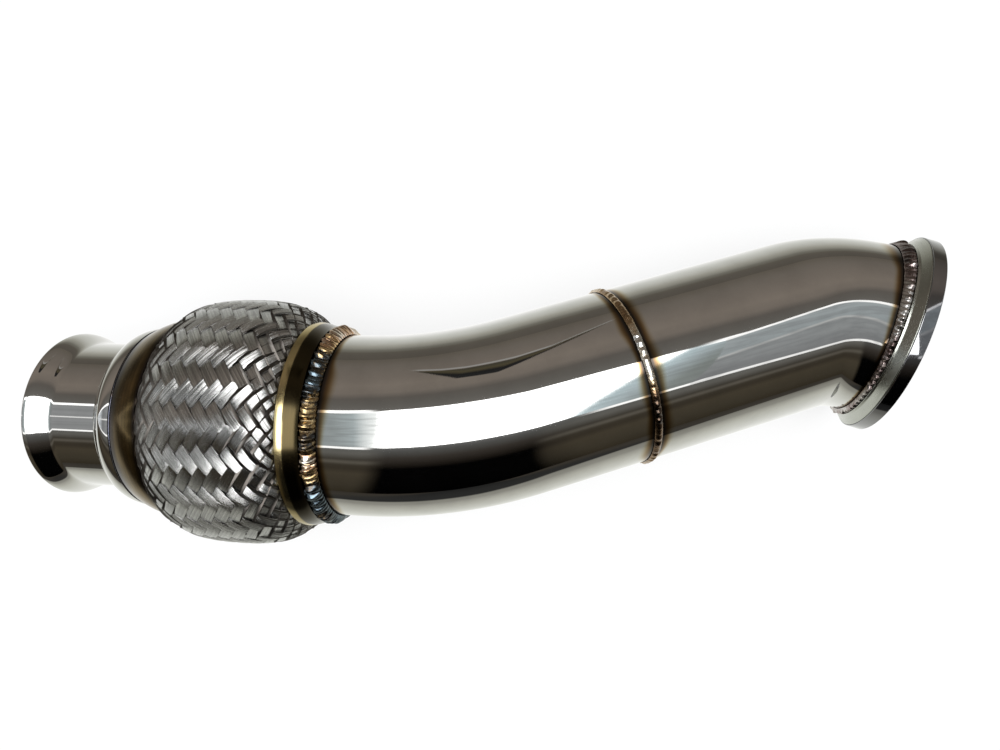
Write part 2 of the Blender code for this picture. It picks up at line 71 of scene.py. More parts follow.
@dataclass(frozen=True)
class Route:
    """The centreline, how it lies on the floor and where its welds are, as in the solid model."""

    straight_in: float = 0.1328
    bend1_radius: float = 0.1524
    bend1_angle: float = math.radians(24.5)
    run_to_joint: float = 0.0466
    run_from_joint: float = 0.0823
    bend2_radius: float = 0.0555
    bend2_angle: float = math.radians(39.4)
    twist: float = math.radians(-165.0)
    run_to_flange: float = 0.0012
    tail: float = 0.1
    location: Point = (-0.189764, 0.010088, 0.040735)
    turn_rows: tuple[Point, Point, Point] = (
        (0.979656, 0.200192, -0.014037),
        (-0.140489, 0.734079, 0.664373),
        (0.143306, -0.648885, 0.747269),
    )
    collar_weld: tuple[float, float] = (0.1205, 0.1262)
    middle_weld_half: float = 0.0017
    flange_weld_width: float = 0.0043

    def runs(self) -> list[Run]:
        """Returns the stretches of the centreline in order."""
        return [
            Run(self.straight_in),
            Run(self.bend1_radius * self.bend1_angle, self.bend1_radius),
            Run(self.run_to_joint + self.run_from_joint),
            Run(self.bend2_radius * self.bend2_angle, self.bend2_radius, self.twist),
            Run(self.tail),
        ]

    def joint(self) -> float:
        """Returns the station where the two tubes meet."""
        return self.straight_in + self.bend1_radius * self.bend1_angle + self.run_to_joint

    def flange(self) -> float:
        """Returns the station where the flange's hub starts."""
        return sum(run.length for run in self.runs()[:4]) + self.run_to_flange

    def frames(self, stations: Array) -> tuple[Array, Array]:
        """Follows the centreline.

        Each stretch moves the frame on by the part of it that the station has passed: a straight
        by its length, a bend of radius R by R sin(t) along and R (1 - cos(t)) to its side.

        Args:
            stations: Distances from the lip, of any shape.

        Returns:
            The centres with a last axis of 3, and the frames with last axes 3 by 3, whose
            columns point along the pipe, to its side and up.
        """
        shape = stations.shape
        left = stations.reshape(-1).astype(float)
        turn = np.tile(np.array(self.turn_rows), (left.size, 1, 1))
        place = np.tile(np.array(self.location), (left.size, 1))
        for number, run in enumerate(self.runs()):
            travel = np.minimum(left, run.length)
            if number:
                travel = np.maximum(travel, 0.0)
            step = np.zeros((left.size, 3))
            if run.radius is None:
                step[:, 0] = travel
            else:
                angle = travel / run.radius
                lean = run.radius * (1 - np.cos(angle))
                step[:, 0] = run.radius * np.sin(angle)
                step[:, 1] = lean * math.cos(run.side)
                step[:, 2] = lean * math.sin(run.side)
            place = place + np.einsum("nij,nj->ni", turn, step)
            if run.radius is not None:
                turn = turn @ self.bend_turn(angle, run.side)
            left = left - travel
        return place.reshape(*shape, 3), turn.reshape(*shape, 3, 3)

    @staticmethod
    def bend_turn(angle: Array, side: float) -> Array:
        """Works out rotations: a turn to the side, the bend about up, and the turn back.

        Args:
            angle: How far each one bends, in radians.
            side: Where the bend leads to, as an angle round the pipe.

        Returns:
            One 3 by 3 rotation for each angle.
        """
        c, s = np.cos(angle), np.sin(angle)
        zero, one = np.zeros_like(c), np.ones_like(c)
        bend = np.stack([c, -s, zero, s, c, zero, zero, zero, one], -1).reshape(-1, 3, 3)
        a, b = math.cos(side), math.sin(side)
        roll = np.array([[1, 0, 0], [0, a, -b], [0, b, a]])
        return roll @ bend @ roll.T

    def place(self, stations: Array, radii: Array, angles: Array) -> Array:
        """Turns pipe coordinates into points: centre + radius (cos(a) side + sin(a) up).

        Args:
            stations: Distances along the centreline.
            radii: Distances from the centreline.
            angles: Angles round the centreline.

        Returns:
            The points, with a last axis of 3.
        """
        stations, radii, angles = np.broadcast_arrays(stations, radii, angles)
        centre, turn = self.frames(stations)
        across = np.cos(angles)[..., None] * turn[..., 1] + np.sin(angles)[..., None] * turn[..., 2]
        return centre + radii[..., None] * across

    def weld_distance(self, stations: Array) -> Array:
        """Measures along the pipe from the nearest weld's edge, 0 within a weld.

        Args:
            stations: Distances along the centreline.

        Returns:
            One distance for each station.
        """
        joint, flange = self.joint(), self.flange()
        spans = np.array([
            self.collar_weld,
            (joint - self.middle_weld_half, joint + self.middle_weld_half),
            (flange - self.flange_weld_width, flange),
        ])
        gaps = np.maximum(spans[:, 0] - stations[..., None], stations[..., None] - spans[:, 1])
        return np.maximum(gaps.min(axis=-1), 0.0)


ROUTE = Route()


@dataclass
class Patch:
    """Faces of one closed body: a grid of points, wrapped round both ways or capped at its ends."""

    points: Array
    wrap_rows: bool
    uv_scale: tuple[float, float]
    marks: dict[str, Array]

    def faces(self) -> tuple[Array, Array, list[Array]]:
        """Works out the faces so that they point outwards.

        The body's volume is the sum of each face's triple product with the body's middle, and
        where it comes out negative every face is turned round.

        Returns:
            Each quad's four points, their places on the UV map, and the points of each end cap.
        """
        rows, columns = self.points.shape[:2]
        last = rows if self.wrap_rows else rows - 1
        row, column = np.meshgrid(np.arange(last), np.arange(columns), indexing="ij")
        row, column = row.ravel(), column.ravel()
        row = np.stack([row, row, row + 1, row + 1], 1)
        column = np.stack([column, column + 1, column + 1, column], 1)
        quads = (row % rows) * columns + column % columns
        uv = np.stack([column * self.uv_scale[0], row * self.uv_scale[1]], -1)
        rim = np.arange(columns)
        caps = [] if self.wrap_rows else [rim[::-1], (rows - 1) * columns + rim]
        flat = self.points.reshape(-1, 3)
        a, b, c, d = (flat[quads[:, k]] - flat.mean(axis=0) for k in range(4))
        volume = np.einsum("ij,ij->", a, np.cross(b, c)) + np.einsum("ij,ij->", a, np.cross(c, d))
        if volume < 0:
            return quads[:, ::-1], uv[:, ::-1], [cap[::-1] for cap in caps]
        return quads, uv, caps


def make_mesh(name: str, patches: list[Patch]) -> bpy.types.Mesh:
    """Joins closed grids in one mesh with a UV map and their marks.

    Args:
        name: The mesh's name.
        patches: Its closed bodies, which all carry the same marks.

    Returns:
        The new mesh.
    """
    points, corners, starts, uvs, marks = [], [], [], [], {}
    offset = corner_count = 0
    for patch in patches:
        quads, uv, caps = patch.faces()
        starts.append(corner_count + 4 * np.arange(len(quads)))
        corners.append(quads.ravel() + offset)
        uvs.append(uv.reshape(-1, 2))
        corner_count += 4 * len(quads)
        for cap in caps:
            starts.append(np.array([corner_count]))
            corners.append(cap + offset)
            uvs.append(np.zeros((len(cap), 2)))
            corner_count += len(cap)
        for mark, values in patch.marks.items():
            spread = np.broadcast_to(values, patch.points.shape[:2])
            marks.setdefault(mark, []).append(spread.reshape(-1))
        points.append(patch.points.reshape(-1, 3))
        offset += len(points[-1])
    mesh = bpy.data.meshes.new(name)
    mesh.vertices.add(offset)
    mesh.vertices.foreach_set("co", np.concatenate(points).astype(np.float32).ravel())
    mesh.loops.add(corner_count)
    mesh.loops.foreach_set("vertex_index", np.concatenate(corners).astype(np.int32))
    first = np.concatenate(starts).astype(np.int32)
    mesh.polygons.add(len(first))
    mesh.polygons.foreach_set("loop_start", first)
    layer = mesh.uv_layers.new(name="UVMap")
    layer.data.foreach_set("uv", np.concatenate(uvs).astype(np.float32).ravel())
    for mark, values in marks.items():
        attribute = mesh.attributes.new(mark, "FLOAT", "POINT")
        attribute.data.foreach_set("value", np.concatenate(values).astype(np.float32))
    mesh.update(calc_edges=True)
    mesh.validate()
    return mesh


def make_piece(
    name: str,
    patches: list[Patch],
    material: bpy.types.Material,
    replaces: str,
    sharp: float = 40.0,
) -> None:
    """Makes one object of closed grids and lets it stand for a node of the solid model.

    Args:
        name: The piece's name.
        patches: Its closed bodies.
        material: Its finish.
        replaces: The node that it stands for.
        sharp: Angle in degrees past which an edge stays sharp.
    """
    mesh = make_mesh(name, patches)
    mesh.shade_smooth()
    mesh.set_sharp_from_angle(angle=math.radians(sharp))
    mesh.materials.append(material)
    obj = bpy.data.objects.new(name, mesh)
    bpy.context.scene.collection.objects.link(obj)
    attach(obj, "root")
    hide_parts(replaces)
    LOG.info("%s: %d faces", name, len(mesh.polygons))


def rounded(outline: list[tuple[float, float]], radius: float, steps: int = 4) -> Array:
    """Rounds every corner of a closed outline.

    Each corner becomes a short curve between two points that lie a radius away from it, or 0.45 of
    the side where that is less: (1-t)^2 start + 2t(1-t) corner + t^2 end.

    Args:
        outline: Corners as (station, radius).
        radius: Distance from the corner where its rounding starts.
        steps: Points on each rounded corner.

    Returns:
        The new outline, one row for each point.
    """
    corner = np.array(outline)
    pieces = []
    for other in (np.roll(corner, 1, axis=0), np.roll(corner, -1, axis=0)):
        way = other - corner
        length = np.linalg.norm(way, axis=1, keepdims=True)
        pieces.append(corner + way / length * np.minimum(radius, 0.45 * length))
    t = np.linspace(0.0, 1.0, steps)[None, :, None]
    start, end = pieces[0][:, None], pieces[1][:, None]
    curve = (1 - t) ** 2 * start + 2 * t * (1 - t) * corner[:, None] + t**2 * end
    return curve.reshape(-1, 2)


def turned_patch(outline: Array, around: int = 192) -> Patch:
    """Carries a closed outline round the centreline.

    Args:
        outline: Rows of (station, radius).
        around: Points round the pipe.

    Returns:
        The closed surface, with its distance from the nearest weld as a mark. Its UV map is in
        metres: round a tube of uv_radius, and along the outline by its mean step.
    """
    uv_radius = 0.038
    angles = np.linspace(0.0, math.tau, around, endpoint=False)
    points = ROUTE.place(outline[:, 0, None], outline[:, 1, None], angles[None, :])
    step = float(np.ptp(outline[:, 0])) * 2 / len(outline)
    distance = ROUTE.weld_distance(outline[:, 0])[:, None]
    return Patch(points, True, (math.tau * uv_radius / around, step), {"weld_distance": distance})


# ----- Shader graphs


def grey(level: float) -> Colour:
    """Returns the grey of a level."""
    return (level, level, level)


def shaded(colour: Colour, share: float) -> Colour:
    """Returns a colour at a share of its brightness."""
    return tuple(share * part for part in colour)


class Graph:
    """A node tree that is being wired."""

    def __init__(self, tree: bpy.types.NodeTree) -> None:
        """Starts on a tree."""
        self.tree = tree

    def feed(self, node: bpy.types.Node, inputs: dict[str | int, object]) -> None:
        """Gives inputs of a node their values or links.

        Args:
            node: The node.
            inputs: Values or sockets, by the input's name or number.
        """
        for key, value in inputs.items():
            if isinstance(value, Link):
                self.tree.links.new(value, node.inputs[key])
            else:
                node.inputs[key].default_value = value

    def node(self, kind: str, inputs: dict | None = None, **settings: object) -> bpy.types.Node:
        """Adds a node.

        Args:
            kind: The node's type without its ShaderNode prefix.
            inputs: Values or sockets for its inputs, by name or number.
            **settings: Properties of the node.

        Returns:
            The new node.
        """
        made = self.tree.nodes.new("ShaderNode" + kind)
        for key, value in settings.items():
            setattr(made, key, value)
        self.feed(made, inputs or {})
        return made

    def group(self, name: str, inputs: dict[str, object]) -> Links:
        """Places a shared group with its own values and returns its output sockets."""
        return self.node("Group", inputs, node_tree=bpy.data.node_groups[name]).outputs

    def mark(self, name: str) -> Link:
        """Reads a value that the mesh carries at each point."""
        return self.node("Attribute", attribute_name=name).outputs["Fac"]

    def axes(self, vector: Link) -> Links:
        """Returns a vector's parts, named X, Y and Z."""
        return self.node("SeparateXYZ", {0: vector}).outputs

    def math(self, operation: str, a: Value, b: Value = 0.0, c: Value = 0.0) -> Link:
        """Adds a Math node and returns its result."""
        return self.node("Math", {0: a, 1: b, 2: c}, operation=operation).outputs[0]

    def plus(self, a: Value, b: Value) -> Link:
        """Returns a + b."""
        return self.math("ADD", a, b)

    def minus(self, a: Value, b: Value) -> Link:
        """Returns a - b."""
        return self.math("SUBTRACT", a, b)

    def times(self, a: Value, b: Value) -> Link:
        """Returns a * b."""
        return self.math("MULTIPLY", a, b)

    def line(self, a: Value, factor: Value, offset: Value) -> Link:
        """Returns a * factor + offset."""
        return self.math("MULTIPLY_ADD", a, factor, offset)

    def size(self, a: Value) -> Link:
        """Returns a without its sign."""
        return self.math("ABSOLUTE", a)

    def noise(self, vector: Link, scale: float, detail: float = 2.0, rough: float = 0.5) -> Link:
        """Adds a Noise texture and returns its value."""
        values = {"Vector": vector, "Scale": scale, "Detail": detail, "Roughness": rough}
        return self.node("TexNoise", values).outputs["Fac"]

    def stretch(self, vector: Link, scale: Point) -> Link:
        """Scales a vector along its axes."""
        return self.node("Mapping", {"Vector": vector, "Scale": scale}).outputs["Vector"]

    def ramp(self, value: Value, stops: Stops) -> Link:
        """Adds a colour ramp.

        Args:
            value: The place on it, from 0 to 1.
            stops: Its positions and colours in order.

        Returns:
            The colour at the place.
        """
        made = self.node("ValToRGB", {"Fac": value})
        points = made.color_ramp.elements
        for point, (position, colour) in ((points[0], stops[0]), (points[1], stops[-1])):
            point.position = position
            point.color = (*colour, 1.0)
        for position, colour in stops[1:-1]:
            points.new(position).color = (*colour, 1.0)
        return made.outputs["Color"]

    def span(
        self, value: Value, low: float, high: float, start: float = 0.0, end: float = 1.0
    ) -> Link:
        """Maps the range low to high onto start to end, clamped and smooth at both ends."""
        values = {"Value": value, "From Min": low, "From Max": high, "To Min": start, "To Max": end}
        return self.node("MapRange", values, interpolation_type="SMOOTHSTEP").outputs["Result"]

    def mix(self, factor: Value, a: Colour | Link, b: Colour | Link, blend: str = "MIX") -> Link:
        """Mixes two colours.

        Args:
            factor: The share of the second colour.
            a: The first colour.
            b: The second colour.
            blend: How the second is laid on the first.

        Returns:
            The mixed colour.
        """
        made = self.node("Mix", {0: factor}, data_type="RGBA", blend_type=blend)
        for index, colour in ((6, a), (7, b)):
            self.feed(made, {index: colour if isinstance(colour, Link) else (*colour, 1.0)})
        return made.outputs[2]

    def bump(self, height: Link, distance: float, normal: Link | None = None) -> Link:
        """Adds a Bump node.

        Args:
            height: The height, in units of the distance.
            distance: The length that a height of 1 stands for.
            normal: The normal that it starts from, if not the surface's own.

        Returns:
            The new normal.
        """
        values = {"Height": height, "Distance": distance, "Strength": 1.0}
        if normal is not None:
            values["Normal"] = normal
        return self.node("Bump", values).outputs["Normal"]


class Socket(Enum):
    """Kinds of socket on a shader group."""

    COLOUR = "NodeSocketColor"
    VALUE = "NodeSocketFloat"
    VECTOR = "NodeSocketVector"


def new_group(
    name: str, inputs: dict[str, Socket], outputs: dict[str, Socket]
) -> tuple[Graph, Links, bpy.types.Node]:
    """Starts a shader group.

    Args:
        name: The group's name.
        inputs: Its input sockets.
        outputs: Its output sockets.

    Returns:
        The graph inside it, the sockets that its inputs feed, and its output node.
    """
    tree = bpy.data.node_groups.new(name, "ShaderNodeTree")
    for names, way in ((inputs, "INPUT"), (outputs, "OUTPUT")):
        for label, kind in names.items():
            tree.interface.new_socket(label, in_out=way, socket_type=kind.value)
    given, out = tree.nodes.new("NodeGroupInput"), tree.nodes.new("NodeGroupOutput")
    return Graph(tree), given.outputs, out


def heat_tint_group() -> None:
    """Makes the oxide colours that a weld leaves on steel, by the distance from its edge.

    The reach wanders by half either way, and the tint fades out over the last two thirds of it.
    """
    graph, given, out = new_group(
        "heat_tint",
        {
            "Steel": Socket.COLOUR,
            "Distance": Socket.VALUE,
            "Reach": Socket.VALUE,
            "Coordinates": Socket.VECTOR,
        },
        {"Color": Socket.COLOUR},
    )
    wander = graph.noise(given["Coordinates"], scale=40.0, detail=1.5)
    reach = graph.times(given["Reach"], graph.span(wander, 0.25, 0.75, start=0.5, end=1.5))
    share = graph.math("DIVIDE", given["Distance"], reach)
    oxide = graph.ramp(share, [
        (0.00, (0.05, 0.042, 0.038)),
        (0.14, (0.09, 0.075, 0.065)),
        (0.30, (0.26, 0.17, 0.09)),
        (0.50, (0.52, 0.38, 0.20)),
        (0.75, (0.80, 0.72, 0.52)),
        (1.00, grey(1.0)),
    ])
    fade = graph.span(share, 0.35, 1.0, start=1.0, end=0.0)
    tint = graph.mix(fade, grey(1.0), oxide)
    graph.feed(out, {"Color": graph.mix(1.0, given["Steel"], tint, "MULTIPLY")})


def polish_group() -> None:
    """Makes the faint marks of a polishing wheel: long scratches, haze and slight waves."""
    graph, given, out = new_group(
        "polish_marks",
        {
            "Coordinates": Socket.VECTOR,
            "Lines": Socket.VECTOR,
            "Base": Socket.VALUE,
            "Haze": Socket.VALUE,
            "Wave": Socket.VALUE,
        },
        {"Roughness": Socket.VALUE, "Normal": Socket.VECTOR},
    )
    scratches_per_metre = (60.0, 3200.0, 1.0)
    scratch_depth = 0.0000015
    quick_share = 0.16
    where = given["Coordinates"]
    lines = graph.noise(graph.stretch(given["Lines"], scratches_per_metre), 1.0, 3.0, 0.6)
    cloud = graph.noise(where, scale=38.0, detail=3.0, rough=0.6)
    haze = graph.times(graph.span(cloud, 0.35, 0.75), given["Haze"])
    streak = graph.times(graph.span(lines, 0.45, 0.8), given["Haze"])
    rough = graph.plus(given["Base"], graph.plus(haze, streak))
    slow = graph.noise(where, scale=26.0, detail=1.0)
    quick = graph.times(graph.noise(where, scale=95.0, detail=1.0), quick_share)
    wave = graph.times(graph.plus(slow, quick), given["Wave"])
    normal = graph.bump(lines, scratch_depth, graph.bump(wave, 1.0))
    graph.feed(out, {"Roughness": rough, "Normal": normal})


def crevice_group() -> None:
    """Makes painted shade that darkens a colour with its depth below the surface round it."""
    graph, given, out = new_group(
        "crevice",
        {
            "Color": Socket.COLOUR,
            "Depth": Socket.VALUE,
            "Amount": Socket.VALUE,
            "Coordinates": Socket.VECTOR,
        },
        {"Color": Socket.COLOUR, "Mask": Socket.VALUE},
    )
    # Near-black colour of the painted shade in crevices, hollows and hidden faces.
    crevice_shade = (0.045, 0.036, 0.028)
    broken = graph.noise(given["Coordinates"], scale=420.0, detail=3.0)
    deep = graph.times(given["Depth"], graph.span(broken, 0.2, 0.7, start=0.8, end=1.25))
    mask = graph.times(graph.span(deep, 0.25, 1.0), given["Amount"])
    graph.feed(out, {"Color": graph.mix(mask, given["Color"], crevice_shade), "Mask": mask})


@dataclass(frozen=True)
class Finish:
    """A metal finish, built from the shared groups.

    The haze is what the polishing marks add to the roughness, the wave is the height of the
    sheet's slow waves and the tint's reach is how far a weld's colours go, both in metres.
    """

    name: str
    colour: Colour
    roughness: float
    haze: float = 0.04
    wave: float = 0.00002
    tint_reach: float = 0.0

    def material(self) -> bpy.types.Material:
        """Builds the finish.

        Returns:
            The new material, with its tint, wear and grain, and for the wires and beads their
            painted shade in the hollows.
        """
        made = bpy.data.materials.new(self.name)
        made.use_nodes = True
        graph = Graph(made.node_tree)
        colour, rough, normal = self.surface(graph, graph.node("TexCoord").outputs)
        values = {"Metallic": 1.0, "Base Color": colour, "Roughness": rough, "Normal": normal}
        graph.feed(made.node_tree.nodes["Principled BSDF"], values)
        made.diffuse_color = (*self.colour, 1.0)
        return made

    def polish(self, graph: Graph, where: Links) -> tuple[Link, Link]:
        """Places the polishing marks.

        Args:
            graph: The material's graph.
            where: Its texture coordinates.

        Returns:
            The roughness and the normal.
        """
        marks = graph.group("polish_marks", {
            "Coordinates": where["Object"],
            "Lines": where["UV"],
            "Base": self.roughness,
            "Haze": self.haze,
            "Wave": self.wave,
        })
        return marks["Roughness"], marks["Normal"]

    def surface(self, graph: Graph, where: Links) -> tuple[Link, Link, Link]:
        """Wires slightly mottled steel, tinted near its welds if the finish says how far.

        Args:
            graph: The material's graph.
            where: Its texture coordinates.

        Returns:
            The colour, the roughness and the normal.
        """
        mottle = graph.noise(where["Object"], scale=70.0, detail=4.0, rough=0.6)
        colour = graph.mix(graph.span(mottle, 0.3, 0.75), self.colour, shaded(self.colour, 0.9))
        if self.tint_reach:
            colour = graph.group("heat_tint", {
                "Steel": colour,
                "Distance": graph.mark("weld_distance"),
                "Reach": self.tint_reach,
                "Coordinates": where["Object"],
            })["Color"]
        return colour, *self.polish(graph, where)


@dataclass(frozen=True, kw_only=True)
class GoldFinish(Finish):
    """Steel that heat has turned gold and brown all over, in bands along the pipe."""

    deep: Colour
    edge: Colour
    patch_scale: float = 60.0
    patch_share: float = 0.16
    ring_share: float = 0.10
    rings_per_metre: float = 900.0
    cover: float = 0.95

    def surface(self, graph: Graph, where: Links) -> tuple[Link, Link, Link]:
        """Wires gold steel with brown patches that follow the noise and the bands.

        Args:
            graph: The material's graph.
            where: Its texture coordinates.

        Returns:
            The colour, the roughness and the normal.
        """
        colour, rough, normal = super().surface(graph, where)
        patches = graph.noise(where["Object"], self.patch_scale, detail=3.0, rough=0.55)
        lengthwise = graph.stretch(where["UV"], (0.0, self.rings_per_metre, 1.0))
        rings = graph.noise(lengthwise, 1.0, 2.0, 0.6)
        amount = graph.mark("band")
        for pattern, share in ((patches, self.patch_share), (rings, self.ring_share)):
            amount = graph.plus(amount, graph.span(pattern, 0.3, 0.7, start=-share, end=share))
        shade = graph.ramp(amount, [
            (0.0, self.colour),
            (0.25, shaded(self.colour, 0.60)),
            (0.45, self.deep),
            (1.0, self.edge),
        ])
        return graph.mix(self.cover, colour, shade), rough, normal


@dataclass(frozen=True)
class WireFinish(Finish):
    """Bright drawn wires side by side in each ribbon, round in section, with painted shade between
    ribbons and wires.
    """

    wires: int = 11
    roundness: float = 0.46
    pitch: float = -0.26
    unevenness: float = 0.10
    dimmest: float = 0.55
    groove: float = 0.45
    # How strongly painted shade darkens the hollows, and how much rougher the shaded hollows are.
    crevice_shade: float = 0.9
    crevice_roughness: float = 0.25

    def surface(self, graph: Graph, where: Links) -> tuple[Link, Link, Link]:
        """Wires the wires' own tones, their round sections and the painted shade between them.

        The share of the way across a wire runs from -1 to 1, and the normal leans that far times
        the roundness to the ribbon's side, as on a round wire, give or take the unevenness. It
        also leans by the pitch along the ribbon, because the floats tip towards the inlet.

        Args:
            graph: The material's graph.
            where: Its texture coordinates.

        Returns:
            The colour, the roughness and the normal.
        """
        numbers_apart = 517.0
        least_rise = 0.05
        count = graph.times(graph.axes(where["UV"])["X"], float(self.wires))
        place = graph.line(graph.math("FRACT", count), 2.0, -1.0)
        own = graph.times(graph.mark("ribbon_tone"), numbers_apart)
        number = graph.plus(graph.math("FLOOR", count), own)
        tone = graph.node("TexWhiteNoise", {"W": number}, noise_dimensions="1D").outputs["Value"]
        tilt = graph.line(tone, 2 * self.unevenness, -self.unevenness)
        lean = graph.line(place, self.roundness, tilt)
        square = graph.minus(1.0, graph.times(lean, lean))
        rise = graph.math("SQRT", graph.math("MAXIMUM", square, least_rise))
        coded = graph.node("CombineXYZ", {
            0: graph.line(lean, 0.5, 0.5),
            1: 0.5 + 0.5 * self.pitch,
            2: graph.line(rise, 0.5, 0.5),
        })
        values = {"Strength": 1.0, "Color": coded.outputs[0]}
        normal = graph.node("NormalMap", values, uv_map="UVMap").outputs["Normal"]
        # Painted shade: each wire's edges count as deep, so the crevice group darkens them.
        between = graph.span(graph.size(place), 0.78, 1.0, end=self.groove)
        crevice = graph.group("crevice", {
            "Color": graph.mix(tone, shaded(self.colour, self.dimmest), self.colour),
            "Depth": graph.math("MAXIMUM", graph.mark("depth"), between),
            "Amount": self.crevice_shade,
            "Coordinates": where["Object"],
        })
        rough, _ = self.polish(graph, where)
        rough = graph.plus(rough, graph.times(crevice["Mask"], self.crevice_roughness))
        return crevice["Color"], rough, normal


@dataclass(frozen=True)
class BeadFinish(Finish):
    """A weld bead's oxides in patches along its ripples, from the coolest tint to the brightest;
    the darkest and palest tints also serve as painted shade and painted highlight.
    """

    tints: tuple[Colour, ...] = (
        (0.12, 0.16, 0.19),
        (0.07, 0.06, 0.05),
        (0.60, 0.43, 0.21),
        (0.48, 0.29, 0.17),
        (0.74, 0.66, 0.56),
    )
    patch_scale: float = 110.0
    scatter: float = 0.3
    fine_scatter: float = 0.12
    # How strongly painted shade darkens the valleys between ripples.
    crevice_shade: float = 0.85
    grain: float = 0.00009

    def surface(self, graph: Graph, where: Links) -> tuple[Link, Link, Link]:
        """Wires the oxide patches and the painted shade in the valleys between ripples.

        Args:
            graph: The material's graph.
            where: Its texture coordinates.

        Returns:
            The colour, the roughness and the normal.
        """
        rough, normal = self.polish(graph, where)
        patches = graph.noise(where["Object"], self.patch_scale, detail=3.0, rough=0.65)
        fine = graph.noise(where["Object"], scale=1100.0, detail=3.0, rough=0.6)
        coarse_part = graph.span(patches, 0.25, 0.75, start=-self.scatter, end=self.scatter)
        fine_part = graph.span(fine, 0.2, 0.8, start=-self.fine_scatter, end=self.fine_scatter)
        # The tint pick holds oxide colours, and also painted highlight and painted shade set by the
        # bead's side.
        pick = graph.plus(graph.plus(graph.mark("oxide_and_light_share"), coarse_part), fine_part)
        last = len(self.tints) - 1
        crevice = graph.group("crevice", {
            "Color": graph.ramp(pick, [(k / last, tint) for k, tint in enumerate(self.tints)]),
            "Depth": graph.mark("depth"),
            "Amount": self.crevice_shade,
            "Coordinates": where["Object"],
        })
        return crevice["Color"], rough, graph.bump(fine, self.grain, normal)


# ----- The pipe's pieces


@dataclass
class InletStub:
    """The short inlet tube with its flared lip, and the cap that grows from it to the seam."""

    plain: float = 0.03175
    wall: float = 0.0016
    length: float = 0.0390
    flare: float = 0.00405
    lip_length: float = 0.0105
    lip_edge: float = 0.0005
    bore_edge: float = 0.0004
    cap_start: float = 0.0300
    cap_length: float = 0.01115
    cap_land: float = 0.0020
    cap_wall: float = 0.0014
    cap_edge: float = 0.0002
    gap: float = 0.0003
    seam: float = 0.0392
    seam_middle: float = 0.0418
    seam_half: float = 0.00035
    seam_crown: float = 0.0003
    seam_wall: float = 0.0015
    # One value for both the seam's painted shade depth and its oxide tint share.
    seam_shade_and_oxide: float = 0.4

    def stub_outline(self) -> Array:
        """Works out lip and neck: the radius falls by (1 + cos) / 2 of the flare over the lip.

        Returns:
            The closed outline as rows of (station, radius).
        """
        share = np.linspace(0.0, 1.0, 28)
        along = share * self.lip_length
        radius = self.plain + self.flare * (1 + np.cos(share * math.pi)) / 2
        outer = np.stack([np.append(along, self.length), np.append(radius, self.plain)], 1)
        inner = outer[::-1] - (0.0, self.wall)
        ends = self.lip_edge * np.array([(1.0, 0.0), (0.3, -0.3), (0.0, -1.0)])
        lip = outer[0] + ends[::-1]
        bore = inner[-1] + self.bore_edge * np.eye(2)
        return np.concatenate([lip, outer[2:], inner[:-2], bore])

    def cap_outline(self) -> Array:
        """Works out a quarter round: the radius grows with the sine, the length with 1 - cosine.

        Returns:
            The closed outline as rows of (station, radius).
        """
        nose = self.plain + self.gap + self.cap_wall
        turn = np.linspace(math.radians(8.0), math.pi / 2, 22)
        along = self.cap_land + (self.cap_length - self.cap_land) * (1 - np.cos(turn))
        radius = nose + (self.seam - nose) * np.sin(turn)
        land = [(3 * self.cap_edge, nose), (self.cap_land * 0.8, nose + 0.0003)]
        outer = np.concatenate([land, np.stack([along, radius], 1)])
        lip = np.array([
            (0.0, nose - self.cap_wall),
            (0.0, nose - self.cap_wall / 2),
            (self.cap_edge, nose - self.cap_edge),
        ])
        inner = np.stack([outer[::-1, 0], outer[::-1, 1] - self.cap_wall], 1)[:-1]
        inner[:, 0] = np.maximum(inner[:, 0], 4 * self.cap_edge)
        return np.concatenate([lip, outer, inner]) + (self.cap_start, 0.0)

    def seam_patch(self) -> Patch:
        """Works out the seam as a low ridge, turned round the pipe.

        Returns:
            The closed surface, with how deep its painted shade is and how oxidised it is.
        """
        start, end = self.seam_middle - self.seam_half, self.seam_middle + self.seam_half
        ridge = [(start, self.seam), (self.seam_middle, self.seam + self.seam_crown)]
        ridge += [(end, self.seam), (end, self.seam - self.seam_wall)]
        ridge += [(start, self.seam - self.seam_wall)]
        patch = turned_patch(rounded(ridge, 0.0002, 3))
        for mark in ("depth", "oxide_and_light_share"):
            patch.marks[mark] = np.array([[self.seam_shade_and_oxide]])
        return patch

    def build(self, steel: bpy.types.Material, seam_finish: bpy.types.Material) -> None:
        """Makes the stub, the cap and the seam.

        Args:
            steel: The finish of stub and cap.
            seam_finish: The finish of the seam.
        """
        stub, cap = turned_patch(self.stub_outline()), turned_patch(self.cap_outline())
        make_piece("inlet_stub_polished", [stub], steel, "inlet_stub")
        make_piece("inlet_cap_spun", [cap], steel, "inlet_reducer")
        seam = self.seam_patch()
        make_piece("inlet_seam", [seam], seam_finish, "inlet_seam_weld")


